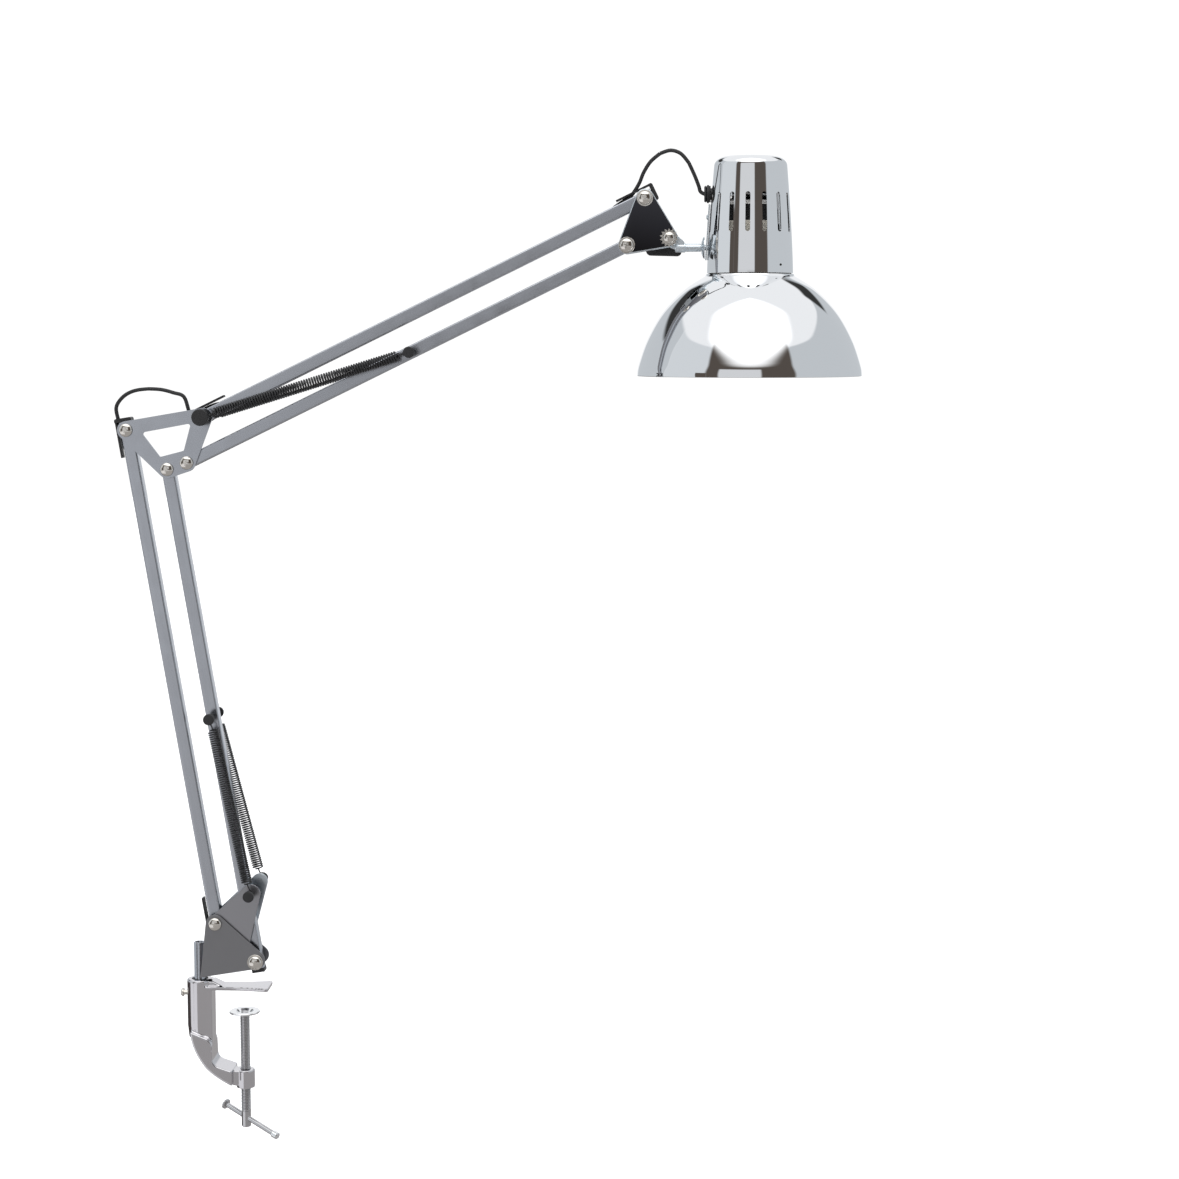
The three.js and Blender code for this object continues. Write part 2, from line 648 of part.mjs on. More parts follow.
function lowerArm() {
  const left = frameAt(BASE_LEFT, LOWER_ANGLE);
  const elbowPassage = into(passage(ELBOW_ROUTE, 28), left);
  const across = (place, radius = SCREW_RADIUS) => pinY({ x: place, z: 0 }, radius + GAP, -30, 30, 12);
  piece("lower_left_tube", shaped(
    [squareTube(-CORD_END, LOWER_LENGTH + CORD_END)],
    [across(0), across(LOWER_LENGTH), elbowPassage],
  ), SATIN, left);
  const inlet = pinX(CORD_PASSAGE, -30, 3, 5.2, 12);
  piece("lower_left_guide_bottom", cordGuide(-1, CORD_END, 0, inlet), BLACK, left);
  piece("lower_left_guide_top", cordGuide(1, CORD_END, LOWER_LENGTH, elbowPassage), BLACK, left);

  const right = frameAt(BASE_RIGHT, LOWER_ANGLE);
  piece("lower_right_tube", shaped(
    [squareTube(-CORD_END, LOWER_LENGTH + PLAIN_END)],
    [across(0), across(LOWER_LENGTH), across(LOWER_PIN, PIN_RADIUS)],
  ), SATIN, right);
  const insert = HALF - TUBE_WALL - GAP;
  piece("lower_right_plug_bottom", shaped([
    box(-CORD_END - GAP - GUIDE_CAP, -CORD_END - GAP, -HALF, HALF, -HALF, HALF),
    box(-CORD_END - GAP - 0.5, -CORD_END + 3.6, -insert, insert, -insert, insert),
  ]), BLACK, right);
  piece("lower_right_plug_top", flushPlug(1, PLAIN_END, LOWER_LENGTH), BLACK, right);
  springPin("lower_spring_pin", LOWER_PIN_AT);
  spring("lower_spring_front", LOWER_PIN_AT, ANCHOR_FRONT, -1);
  spring("lower_spring_back", LOWER_PIN_AT, ANCHOR_BACK, 1);
}

function upperArm() {
  const top = frameAt(ELBOW_TOP, UPPER_ANGLE);
  const elbowPassage = into(passage(ELBOW_ROUTE, 28), top);
  const headPassage = into(passage(HEAD_ROUTE, 30), top);
  const across = (place, radius = SCREW_RADIUS) => pinY({ x: place, z: 0 }, radius + GAP, -30, 30, 12);
  piece("upper_top_tube", shaped(
    [squareTube(-CORD_END, UPPER_LENGTH + CORD_END)],
    [across(0, PIN_RADIUS), across(UPPER_LENGTH), elbowPassage, headPassage],
  ), SATIN, top);
  piece("upper_top_guide_elbow", cordGuide(-1, CORD_END, 0, elbowPassage), BLACK, top);
  piece("upper_top_guide_head", cordGuide(1, CORD_END, UPPER_LENGTH, headPassage), BLACK, top);

  const bottom = frameAt(ELBOW_RIGHT, UPPER_ANGLE);
  piece("upper_bottom_tube", shaped(
    [squareTube(-PLAIN_END, UPPER_LENGTH + PLAIN_END)],
    [across(0), across(UPPER_LENGTH), across(UPPER_PIN, PIN_RADIUS)],
  ), SATIN, bottom);
  piece("upper_bottom_plug_elbow", flushPlug(-1, PLAIN_END, 0), BLACK, bottom);
  springPin("upper_spring_pin", UPPER_PIN_AT);
  spring("upper_spring_front", ELBOW_TOP, UPPER_PIN_AT, -1);
  spring("upper_spring_back", ELBOW_TOP, UPPER_PIN_AT, 1);
}

// A pin through a tube, with a black cap outside the spring eye on each end
function springPin(name, at, frontCap = PIN_CAP) {
  const capStart = SPRING_OFFSET + SPRING_RADIUS + GAP;
  piece(name, turnedY([
    [0, capStart + PIN_CAP.height],
    [PIN_CAP.radius, capStart + PIN_CAP.height],
    [PIN_CAP.radius, capStart],
    [PIN_RADIUS, capStart],
    [PIN_RADIUS, -capStart],
    [frontCap.radius, -capStart],
    [frontCap.radius, -capStart - frontCap.height],
    [0, -capStart - frontCap.height],
  ], at), BLACK);
}

// A spring's envelope: the coil as a plain cylinder, with an eye round the pin at each end
function spring(name, from, to, turn) {
  const length = distance(from, to);
  const group = frameAt(from, heading(from, to));
  const eyeRadius = PIN_RADIUS + GAP + SPRING_WIRE;
  const eye = (place) => pinY({ x: place, z: 0 }, eyeRadius, -SPRING_WIRE / 2, SPRING_WIRE / 2, 16);
  const hole = (place) => pinY({ x: place, z: 0 }, PIN_RADIUS + GAP, -2, 2, 16);
  const shank = (a, b) => pinX(SPRING_WIRE / 2, a, b, 0, 8);
  const coilEnd = length - SPRING_HOOK;
  const geometry = shaped(
    [
      pinX(SPRING_RADIUS, SPRING_HOOK, coilEnd, 0, 20),
      eye(0),
      eye(length),
      shank(eyeRadius - 0.6, SPRING_HOOK + 1),
      shank(coilEnd - 1, length - eyeRadius + 0.6),
    ],
    [hole(0), hole(length)],
  );
  piece(name, geometry.translate(0, turn * SPRING_OFFSET, 0), SPRING_BLACK, group);
}

// ---- elbow --------------------------------------------------------------------------------------

function elbow() {
  const corner = (pivot) => ({ x: pivot.x, z: pivot.z, r: ELBOW_RADIUS });
  const outline = around([
    corner(ELBOW_MIDDLE),
    corner(ELBOW_RIGHT),
    corner(ELBOW_TOP),
    corner(ELBOW_LEFT),
  ]);
  // The window keeps the same strap width along each edge
  const strap = { top: 14, right: 13.4, bottom: 17, left: 17.6 };
  const inset = (pivot, x, z, r) => ({ x: pivot.x + x, z: pivot.z + z, r });
  const window = around([
    inset(ELBOW_MIDDLE, -4.6, strap.bottom - 5.4, 1.6),
    inset(ELBOW_RIGHT, 3.4 - strap.right / 2, 10.8, 1.6),
    inset(ELBOW_TOP, -strap.right + 1.2, -7.2, 1.6),
    inset(ELBOW_LEFT, strap.left - 2.4, 9.8 - strap.top + 1.2, 1.6),
  ]);
  const front = -HALF - GAP;
  const holes = [screwHole(ELBOW_LEFT), screwHole(ELBOW_MIDDLE), screwHole(ELBOW_RIGHT)];
  piece("elbow_plate", shaped(
    [sheet(outline, front - ELBOW_SHEET, front)],
    [
      ...holes,
      pinY(ELBOW_TOP, PIN_RADIUS + GAP, -30, 30, 12),
      sheet(window, front - ELBOW_SHEET - 1, front + 1),
    ],
  ), SATIN);

  const pivots = { left: ELBOW_LEFT, middle: ELBOW_MIDDLE, right: ELBOW_RIGHT };
  for (const [place, at] of Object.entries(pivots)) {
    screw(`elbow_${place}_screw`, at, HALF + GAP + ELBOW_SHEET, screwTip(HALF));
    nut(`elbow_${place}_nut`, at, HALF);
  }
  springPin("elbow_knob_pin", ELBOW_TOP, KNOB);
}

// ---- head bracket and tilt joint ----------------------------------------------------------------

function headBracket() {
  const corner = (pivot, r = HEAD_RADIUS) => ({ x: pivot.x, z: pivot.z, r });
  const outline = around([corner(HEAD_BOTTOM, 6.6), corner(TILT, 6.8), corner(HEAD_TOP)]);
  const outer = CHEEK_INNER + SHEET;
  const webStart = HEAD_BOTTOM.x + 8.4;
  const webEnd = TILT.x - 13;
  const edge = (x) => HEAD_BOTTOM.z - 6.6
    + (x - HEAD_BOTTOM.x) * (TILT.z - 6.8 - HEAD_BOTTOM.z + 6.6) / (TILT.x - HEAD_BOTTOM.x);
  const web = polygon([
    [webStart, edge(webStart) + 0.1],
    [webEnd, edge(webEnd) + 0.1],
    [webEnd, edge(webEnd) + SHEET],
    [webStart, edge(webStart) + SHEET],
  ]);
  piece("head_bracket", shaped(
    [
      sheet(outline, -outer, -CHEEK_INNER),
      sheet(outline, CHEEK_INNER, outer),
      sheet(web, -outer, outer),
    ],
    [screwHole(HEAD_TOP), screwHole(HEAD_BOTTOM), screwHole(TILT)],
  ), CHROME);

  screw("head_top_screw", HEAD_TOP, outer, screwTip(outer), true);
  nut("head_top_nut", HEAD_TOP, outer);
  screw("head_bottom_screw", HEAD_BOTTOM, outer, screwTip(outer), true);
  nut("head_bottom_nut", HEAD_BOTTOM, outer);

  // The tilt joint: a toothed washer and screw in front, a black wing nut behind
  const washerThickness = 0.9;
  const teeth = 14;
  const star = new THREE.Shape();
  for (let i = 0; i < teeth * 2; i += 1) {
    const angle = (i / teeth) * Math.PI;
    const radius = i % 2 ? 7.4 : 5.6;
    const place = [TILT.x + radius * Math.cos(angle), TILT.z + radius * Math.sin(angle)];
    if (i === 0) star.moveTo(...place);
    else star.lineTo(...place);
  }
  star.closePath();
  const washerBack = -outer - GAP;
  piece("star_washer", shaped(
    [sheet(star, washerBack - washerThickness, washerBack)],
    [screwHole(TILT)],
  ), NICKEL);
  screw("tilt_screw", TILT, outer + GAP + washerThickness, outer + 12);
  const wingBack = outer + GAP;
  const wing = around([
    { x: TILT.x - 14.2, z: TILT.z - 9, r: 4 },
    { x: TILT.x + 6, z: TILT.z - 10, r: 3.5 },
    { x: TILT.x, z: TILT.z, r: 5 },
  ]);
  piece("wing_nut", shaped(
    [
      pinY(TILT, 6.6, wingBack, wingBack + 9, 24),
      sheet(wing, wingBack + 2.5, wingBack + 6.5),
    ],
    [screwHole(TILT)],
  ), BLACK);
}

function tiltStub() {
  const half = CHEEK_INNER - GAP;
  const neckStart = TILT.x + 2;
  const collarAt = TILT.x + ROD.collar;
  const rodEnd = TILT.x + ROD.end;
  const eye = turnedY([[0, -half], [TILT_EYE, -half], [TILT_EYE, half], [0, half]], TILT);
  const neck = around([
    { x: neckStart, z: ROD_Z + 3.4, r: 3.6 },
    { x: collarAt + 4, z: ROD_Z, r: 3.1 },
    { x: collarAt + 4, z: ROD_Z + 3.2, r: 3.1 },
    { x: neckStart, z: TILT.z + 1, r: 3.6 },
  ]);
  const wallLeft = HEAD_X - capRadius(ROD_Z);
  piece("tilt_stub", shaped(
    [
      eye,
      sheet(neck, -3.1, 3.1),
      pinX(ROD.radius + 0.6, collarAt, collarAt + 8, ROD_Z),
      pinX(ROD.radius, collarAt + 4, rodEnd, ROD_Z),
      pinX(SCREW_RADIUS, rodEnd - 1, wallLeft + WALL + GAP * 2 + NUT.height + 1, ROD_Z),
    ],
    [screwHole(TILT)],
  ), ZINC);

  // The domed swivel washer between the rod's shoulder and the strip
  const back = rodEnd + GAP;
  const knuckleEnd = stripInside(ROD_Z - KNUCKLE.radius) - STRIP.thickness - GAP;
  piece("swivel_washer", turnedX([
    [SCREW_RADIUS + GAP, back],
    [KNUCKLE.radius * 0.55, back],
    [KNUCKLE.radius * 0.9, back + (knuckleEnd - back) * 0.45],
    [KNUCKLE.radius, knuckleEnd - 0.6],
    [KNUCKLE.radius, knuckleEnd],
    [SCREW_RADIUS + GAP, knuckleEnd],
    [SCREW_RADIUS + GAP, back],
  ], ROD_Z), ZINC);

  const nutStart = wallLeft + WALL + GAP * 2;
  const swivelNut = turnedX([
    [0, nutStart],
    [NUT.radius, nutStart],
    [NUT.radius, nutStart + NUT.height],
    [0, nutStart + NUT.height],
  ], ROD_Z, 6);
  piece("swivel_nut", shaped(
    [swivelNut],
    [pinX(SCREW_RADIUS + GAP, nutStart - 1, nutStart + NUT.height + 1, ROD_Z)],
  ), NICKEL);
}

// ---- head ---------------------------------------------------------------------------------------

// The cap's outside radius at a height: nearly straight, then drawn in towards the shoulder
function capRadius(z) {
  const share = (z - CAP.bottom) / (CAP.shoulder - CAP.bottom);
  return CAP.bottomRadius - (CAP.bottomRadius - CAP.topRadius) * share ** 1.35;
}

// The face of the mounting strip that backs onto the cap
function stripInside(z) {
  const lean = (capRadius(STRIP.bottom) - capRadius(STRIP.top)) / (STRIP.top - STRIP.bottom);
  return HEAD_X - capRadius(STRIP.bottom) - GAP * 1.2 + (z - STRIP.bottom) * lean;
}

function head() {
  const outer = [];
  for (const z of [CAP.bottom, 584, SLOT.bottom - 2, SLOT.top + 2, CAP.shoulder]) {
    outer.push([capRadius(z), z]);
  }
  const roundOver = CAP.top - CAP.shoulder;
  for (let i = 1; i <= 3; i += 1) {
    const angle = (i / 3) * 90 * DEGREE;
    const reach = roundOver * 1.3;
    outer.push([
      CAP.topRadius - reach * (1 - Math.cos(angle)),
      CAP.shoulder + roundOver * Math.sin(angle),
    ]);
  }
  const inner = outer.map(([radius, z]) => [
    radius - WALL,
    z > CAP.shoulder ? z - WALL * (z - CAP.shoulder) / roundOver : z,
  ]);
  const profile = [
    [0, CAP.top - WALL],
    ...inner.slice().reverse(),
    ...outer,
    [0, CAP.top],
  ];
  const halfSlot = SLOT.width / 2;
  const cuts = [];
  for (let i = 0; i < SLOT.count; i += 1) {
    const stadium = around([
      { x: 0, z: SLOT.bottom + halfSlot, r: halfSlot },
      { x: 0, z: SLOT.top - halfSlot, r: halfSlot },
    ]);
    const turn = (SLOT.first + i * 360 / SLOT.count) * DEGREE;
    cuts.push(sheet(stadium, -CAP.bottomRadius - 2, -20).rotateZ(turn));
  }
  cuts.push(pinX(SCREW_RADIUS + GAP, -CAP.bottomRadius - 5, -20, ROD_Z));
  cuts.push(pinX(GRIP.neck + GAP, -CAP.bottomRadius - 5, -20, GRIP.z));
  const cap = shaped([turnedZ(profile, 0, 48)], cuts);
  piece("socket_cap", cap.translate(HEAD_X, 0, 0), CHROME);

  // The strip stands along the cap's side and holds the swivel
  const stripSide = polygon([
    [stripInside(STRIP.bottom) - STRIP.thickness, STRIP.bottom],
    [stripInside(STRIP.bottom), STRIP.bottom],
    [stripInside(STRIP.top), STRIP.top],
    [stripInside(STRIP.top) - STRIP.thickness, STRIP.top],
  ]);
  piece("mounting_strip", shaped(
    [sheet(stripSide, -STRIP.width / 2, STRIP.width / 2)],
    [pinX(SCREW_RADIUS + GAP, HEAD_X - 60, HEAD_X, ROD_Z)],
  ), ZINC);

  // The cord grip snaps into the cap: a grooved barrel outside and a lip inside
  const wallAt = HEAD_X - capRadius(GRIP.z);
  const barrelEnd = wallAt - GAP * 2;
  piece("cord_grip", turnedX([
    [CORD_PASSAGE, barrelEnd - GRIP.length],
    [GRIP.radius * 0.8, barrelEnd - GRIP.length],
    [GRIP.radius, barrelEnd - GRIP.length * 0.7],
    [GRIP.radius, barrelEnd - GRIP.length * 0.25],
    [GRIP.radius * 0.85, barrelEnd],
    [GRIP.neck, barrelEnd],
    [GRIP.neck, wallAt + WALL + GRIP.inside],
    [CORD_PASSAGE, wallAt + WALL + GRIP.inside],
    [CORD_PASSAGE, barrelEnd - GRIP.length],
  ], GRIP.z), BLACK);

  // The shade: a spun bowl with a flat seat for the cap and a hole for the lampholder
  const curve = new THREE.SplineCurve([
    new THREE.Vector2(34.8, SHADE.top - 1.9),
    new THREE.Vector2(50.7, 557.1),
    new THREE.Vector2(67, 540),
    new THREE.Vector2(79, 519.1),
    new THREE.Vector2(85.9, 499.5),
    new THREE.Vector2(SHADE.rimRadius, SHADE.rim),
  ]);
  const bowl = curve.getPoints(8);
  const inward = bowl.map((point, i) => {
    const tangent = curve.getTangent(i / 8);
    return [point.x + tangent.y * SHADE.wall, point.y - tangent.x * SHADE.wall];
  });
  inward[inward.length - 1][1] = SHADE.rim;
  const shadeProfile = [
    [SHADE.hole, SHADE.top],
    [SHADE.neck, SHADE.top],
    ...bowl.map((point) => [point.x, point.y]),
    ...inward.reverse(),
    [SHADE.neck - 0.3, SHADE.top - SHADE.wall],
    [SHADE.hole, SHADE.top - SHADE.wall],
    [SHADE.hole, SHADE.top],
  ];
  piece("shade", turnedZ(shadeProfile, HEAD_X, 48), CHROME);

  // The lampholder stands in the hole: flange above the shade, threaded ring below it
  const flangeBottom = SHADE.top + GAP;
  const flangeTop = flangeBottom + HOLDER.flange;
  const skirt = SHADE.hole - GAP;
  piece("lampholder", turnedZ([
    [0, HOLDER.boreTop],
    [HOLDER.bore, HOLDER.boreTop],
    [HOLDER.bore, HOLDER.skirt],
    [skirt, HOLDER.skirt],
    [skirt, flangeBottom],
    [CAP.bottomRadius - WALL - GAP, flangeBottom],
    [CAP.bottomRadius - WALL - GAP, flangeTop],
    [HOLDER.radius, flangeTop],
    [HOLDER.radius, HOLDER.top - 4],
    [HOLDER.radius - 5, HOLDER.top],
    [0, HOLDER.top],
  ], HEAD_X), PORCELAIN);
  const ringTop = SHADE.top - SHADE.wall - GAP;
  piece("lampholder_ring", turnedZ([
    [skirt + GAP, ringTop - RING.height],
    [RING.radius, ringTop - RING.height],
    [RING.radius, ringTop],
    [skirt + GAP, ringTop],
    [skirt + GAP, ringTop - RING.height],
  ], HEAD_X), PORCELAIN);
}

clampBody();
clampFittings();
clampScrew();
base();
cord();
lowerArm();
upperArm();
elbow();
headBracket();
tiltStub();
head();

export default lamp;
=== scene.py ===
# %% [markdown]
# # An architect desk lamp, dressed for its portrait
#
# The lamp arrives as a finished assembly: every tube, plate and screw already has its size and its
# place. This notebook doesn't move any of it. It sets up a camera and a small studio, then gives the
# plain pieces the surfaces and the fine shapes that make metal look like metal.
#
# Lengths on the lamp are in millimetres, and `MM` turns them into metres. The camera, the light and
# the floor are placed in metres.

import math

import bmesh
import bpy
from mathutils import Matrix, Vector


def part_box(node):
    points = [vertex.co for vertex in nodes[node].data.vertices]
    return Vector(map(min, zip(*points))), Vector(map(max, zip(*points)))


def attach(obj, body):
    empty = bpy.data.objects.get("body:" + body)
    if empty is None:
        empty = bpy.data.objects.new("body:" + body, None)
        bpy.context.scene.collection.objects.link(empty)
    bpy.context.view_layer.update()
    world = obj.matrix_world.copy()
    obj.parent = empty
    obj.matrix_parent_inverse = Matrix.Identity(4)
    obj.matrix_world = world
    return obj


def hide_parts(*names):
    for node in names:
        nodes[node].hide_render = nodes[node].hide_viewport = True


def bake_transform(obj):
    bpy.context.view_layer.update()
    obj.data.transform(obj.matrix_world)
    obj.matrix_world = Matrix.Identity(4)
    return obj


MM = 0.001
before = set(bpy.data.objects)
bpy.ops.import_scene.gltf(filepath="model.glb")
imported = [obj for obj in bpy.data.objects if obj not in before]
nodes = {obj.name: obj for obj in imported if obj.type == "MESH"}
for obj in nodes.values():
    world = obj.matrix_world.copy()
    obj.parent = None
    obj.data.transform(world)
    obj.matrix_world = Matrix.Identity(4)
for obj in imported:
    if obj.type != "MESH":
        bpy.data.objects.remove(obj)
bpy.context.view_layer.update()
scene = bpy.context.scene

# %% [markdown]
# ## The camera
#
# A long lens from the front, a little above the middle of the lamp. A long lens keeps the upright
# arms upright and shows only a sliver of the right-hand faces of the clamp.

# %% Place the camera
camera_data = bpy.data.cameras.new("camera")
camera_data.lens = 73.28
camera_data.sensor_width = 36
camera = bpy.data.objects.new("camera", camera_data)
camera.location = (0.3597, -1.8726, 0.5230)
look = Vector((-0.04337, 0.99345, -0.10574))
camera.rotation_euler = look.to_track_quat("-Z", "Y").to_euler()
scene.collection.objects.link(camera)
scene.camera = camera
print("camera", round((camera.location - Vector((0.2, 0, 0.3))).length, 2), "m away")

# %% [markdown]
# ## The pivots
#
# Everything on an arm is measured from its pivots. Four numbers describe each parallelogram: where
# it starts, the link between its two tubes, its length and its angle. These are the same numbers
# that the assembly was made from.


# %% Work out the pivots
def along(start, angle, length):
    turn = math.radians(angle)
    return (start[0] + length * math.cos(turn), start[1] + length * math.sin(turn))


def add(a, b):
    return (a[0] + b[0], a[1] + b[1])


LOWER_ANGLE, LOWER_LENGTH = 99.29, 399
UPPER_ANGLE, UPPER_LENGTH = 26.03, 383.8
BASE_LEFT = (-21, 54.5)
LOWER_LINK, UPPER_LINK = (31.9, -30.65), (13.9, 36)
ELBOW_STEP, TILT_STEP = (47.5, -25.45), (18.7, -30.45)
BASE_RIGHT = add(BASE_LEFT, LOWER_LINK)
ELBOW_LEFT = along(BASE_LEFT, LOWER_ANGLE, LOWER_LENGTH)
ELBOW_MIDDLE = add(ELBOW_LEFT, LOWER_LINK)
ELBOW_RIGHT = add(ELBOW_LEFT, ELBOW_STEP)
ELBOW_TOP = add(ELBOW_RIGHT, UPPER_LINK)
HEAD_BOTTOM = along(ELBOW_RIGHT, UPPER_ANGLE, UPPER_LENGTH)
HEAD_TOP = add(HEAD_BOTTOM, UPPER_LINK)
TILT = add(HEAD_TOP, TILT_STEP)
LOWER_PIN_REACH, UPPER_PIN_REACH = 200, 197
LOWER_PIN = along(BASE_RIGHT, LOWER_ANGLE, LOWER_PIN_REACH)
UPPER_PIN = along(ELBOW_RIGHT, UPPER_ANGLE, UPPER_PIN_REACH)
ANCHOR_FRONT, ANCHOR_BACK = (7.9, 79.2), (12.6, 86.1)
HEAD_X = TILT[0] + 62.4
ROD_Z = TILT[1] - 7.3
GAP = 0.3

# How far things lie from the arms' middle plane: the springs, and each sheet's inner and outer face
SPRING_PLANE, TUBE_HALF = 13, 5
BASE_SHEET, ELBOW_SHEET, HEAD_SHEET, ANCHOR_SHEET = (8.3, 9.8), (5.3, 7.3), (6.3, 7.8), (6.3, 7.8)
print("elbow at", [round(v) for v in ELBOW_LEFT], "head at", [round(v) for v in HEAD_TOP])

# %% [markdown]
# ## Materials
#
# Real metal is never perfectly even. Two small node groups do most of the work: one makes the
# roughness drift across a surface, as handling and polishing leave it; the other lays a faint grain
# or dimple over the form. Every material uses them with its own numbers.


# %% Make the shared effect groups
def new_group(name, inputs, outputs):
    group = bpy.data.node_groups.new(name, "ShaderNodeTree")
    for label, kind, value in inputs:
        socket = group.interface.new_socket(label, in_out="INPUT", socket_type=kind)
        if value is not None:
            socket.default_value = value
    for label, kind in outputs:
        group.interface.new_socket(label, in_out="OUTPUT", socket_type=kind)
    return group, group.nodes.new("NodeGroupInput"), group.nodes.new("NodeGroupOutput")


FLOAT, VECTOR = "NodeSocketFloat", "NodeSocketVector"

uneven, uneven_in, uneven_out = new_group(
    "uneven_polish",
    [("Scale", FLOAT, 60.0), ("Low", FLOAT, 0.1), ("High", FLOAT, 0.2)],
    [("Roughness", FLOAT)],
)
links = uneven.links
where = uneven.nodes.new("ShaderNodeTexCoord")
noise = uneven.nodes.new("ShaderNodeTexNoise")
noise.inputs["Detail"].default_value = 3
links.new(where.outputs["Object"], noise.inputs["Vector"])
links.new(uneven_in.outputs["Scale"], noise.inputs["Scale"])
spread = uneven.nodes.new("ShaderNodeMapRange")
links.new(noise.outputs["Fac"], spread.inputs["Value"])
links.new(uneven_in.outputs["Low"], spread.inputs["To Min"])
links.new(uneven_in.outputs["High"], spread.inputs["To Max"])
spread.inputs["From Min"].default_value = 0.3
spread.inputs["From Max"].default_value = 0.7
links.new(spread.outputs["Result"], uneven_out.inputs["Roughness"])

grain, grain_in, grain_out = new_group(
    "fine_grain",
    [("Scale", FLOAT, 900.0), ("Strength", FLOAT, 0.1)],
    [("Normal", VECTOR)],
)
links = grain.links
where = grain.nodes.new("ShaderNodeTexCoord")
noise = grain.nodes.new("ShaderNodeTexNoise")
noise.inputs["Detail"].default_value = 2
bump = grain.nodes.new("ShaderNodeBump")
bump.inputs["Distance"].default_value = 0.0002
links.new(where.outputs["Object"], noise.inputs["Vector"])
links.new(grain_in.outputs["Scale"], noise.inputs["Scale"])
links.new(noise.outputs["Fac"], bump.inputs["Height"])
links.new(grain_in.outputs["Strength"], bump.inputs["Strength"])
links.new(bump.outputs["Normal"], grain_out.inputs["Normal"])
print("groups:", uneven.name, grain.name)


# %% Make the materials
POLISH_SCALE, GRAIN_SCALE = 60, 900


def material(name, color, metallic, rough, grain_strength):
    made = bpy.data.materials.new(name)
    made.use_nodes = True
    tree = made.node_tree
    shader = tree.nodes["Principled BSDF"]
    shader.inputs["Base Color"].default_value = (*color, 1)
    shader.inputs["Metallic"].default_value = metallic
    polish = tree.nodes.new("ShaderNodeGroup")
    polish.node_tree = uneven
    polish.inputs["Scale"].default_value = POLISH_SCALE
    polish.inputs["Low"].default_value = rough[0]
    polish.inputs["High"].default_value = rough[1]
    tree.links.new(polish.outputs["Roughness"], shader.inputs["Roughness"])
    texture = tree.nodes.new("ShaderNodeGroup")
    texture.node_tree = grain
    texture.inputs["Scale"].default_value = GRAIN_SCALE
    texture.inputs["Strength"].default_value = grain_strength
    tree.links.new(texture.outputs["Normal"], shader.inputs["Normal"])
    return made


SOOT = (0.012, 0.012, 0.013)
FINISHES = {  # the library's slot, colour, metallic, lowest and highest roughness, strength of the grain
    "chrome": ("bright_chrome", (0.86, 0.87, 0.88), 1, (0.02, 0.035), 0.0),
    "cast_chrome": ("bright_chrome", (0.66, 0.65, 0.67), 1, (0.07, 0.13), 0.0),
    # bright chrome on the head bracket, its colour made nearly black as a painted dark reflection
    "chrome_painted_dark": ("bright_chrome", (0.05, 0.05, 0.058), 1, (0.03, 0.06), 0.0),
    "satin": ("satin_tube", (0.50, 0.52, 0.56), 1, (0.19, 0.27), 0.0),
    "grey_sheet": ("grey_plate", (0.27, 0.27, 0.28), 1, (0.34, 0.44), 0.05),
    "light_sheet": ("grey_plate", (0.38, 0.38, 0.40), 1, (0.26, 0.36), 0.05),
    "zinc": ("bright_zinc", (0.74, 0.80, 0.84), 1, (0.26, 0.36), 0.06),
    "nickel": ("nickel_fastener", (0.74, 0.71, 0.66), 1, (0.08, 0.15), 0.02),
    "screw_steel": ("nickel_fastener", (0.56, 0.56, 0.57), 1, (0.10, 0.18), 0.02),
    "black": ("black_plastic", SOOT, 0, (0.42, 0.55), 0.25),
    "spring": ("spring_black", SOOT, 0, (0.34, 0.44), 0.05),
    "cord": ("cord_sheath", SOOT, 0, (0.4, 0.5), 0.2),
    "ceramic": ("holder_ceramic", (0.78, 0.74, 0.66), 0, (0.3, 0.4), 0.05),
    "pale_ring": ("holder_ceramic", (0.93, 0.92, 0.90), 0, (0.3, 0.4), 0.03),
}
MATERIALS = {name: material(name, *finish[1:]) for name, finish in FINISHES.items()}
print(len(MATERIALS), "materials")

# %% [markdown]
# ## Building blocks
#
# A desk lamp is nearly all turned parts, flat plates and bent wire, so three functions cover it:
# `turned` spins a profile about an axis, `plate_bm` thickens an outline and rounds its edges, and
# `wire_mesh` sweeps a circle along a route. Each ends in `piece` or `finish_piece`, which turns the
# mesh into an object, lets it ride on its body and hides the plain node it stands for.


# %% Define the building blocks
def piece(name, bm, look_name, body, replaced=(), sharp=35, level=False):
    bmesh.ops.recalc_face_normals(bm, faces=bm.faces)
    mesh = bpy.data.meshes.new(name)
    bm.to_mesh(mesh)
    bm.free()
    made = finish_piece(name, mesh, look_name, body, replaced, sharp)
    if level:
        level_normals(mesh)
    return made


def level_normals(mesh, limit=50):
    """Lets large faces lead the shading, so a flat stays flat right up to its rounded edge."""
    reach = math.cos(math.radians(limit))
    meeting = [[] for _ in mesh.vertices]
    for face in mesh.polygons:
        for index in face.vertices:
            meeting[index].append((face.normal.copy(), face.area))
    normals = []
    for face in mesh.polygons:
        for index in face.vertices:
            total = Vector()
            for normal, area in meeting[index]:
                if normal.dot(face.normal) > reach:
                    total += normal * area
            normals.append(total.normalized())
    mesh.normals_split_custom_set(normals)


def finish_piece(name, mesh, look_name, body, replaced=(), sharp=35):
    """Turns a mesh into a piece, with its material, shading and body, and hides the nodes it stands for."""
    mesh.materials.clear()
    mesh.materials.append(MATERIALS[look_name])
    mesh.shade_smooth()
    if sharp:
        mesh.set_sharp_from_angle(angle=math.radians(sharp))
    made = bpy.data.objects.new(name, mesh)
    scene.collection.objects.link(made)
    if body:
        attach(made, body)
    if replaced:
        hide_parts(*replaced)
    return made


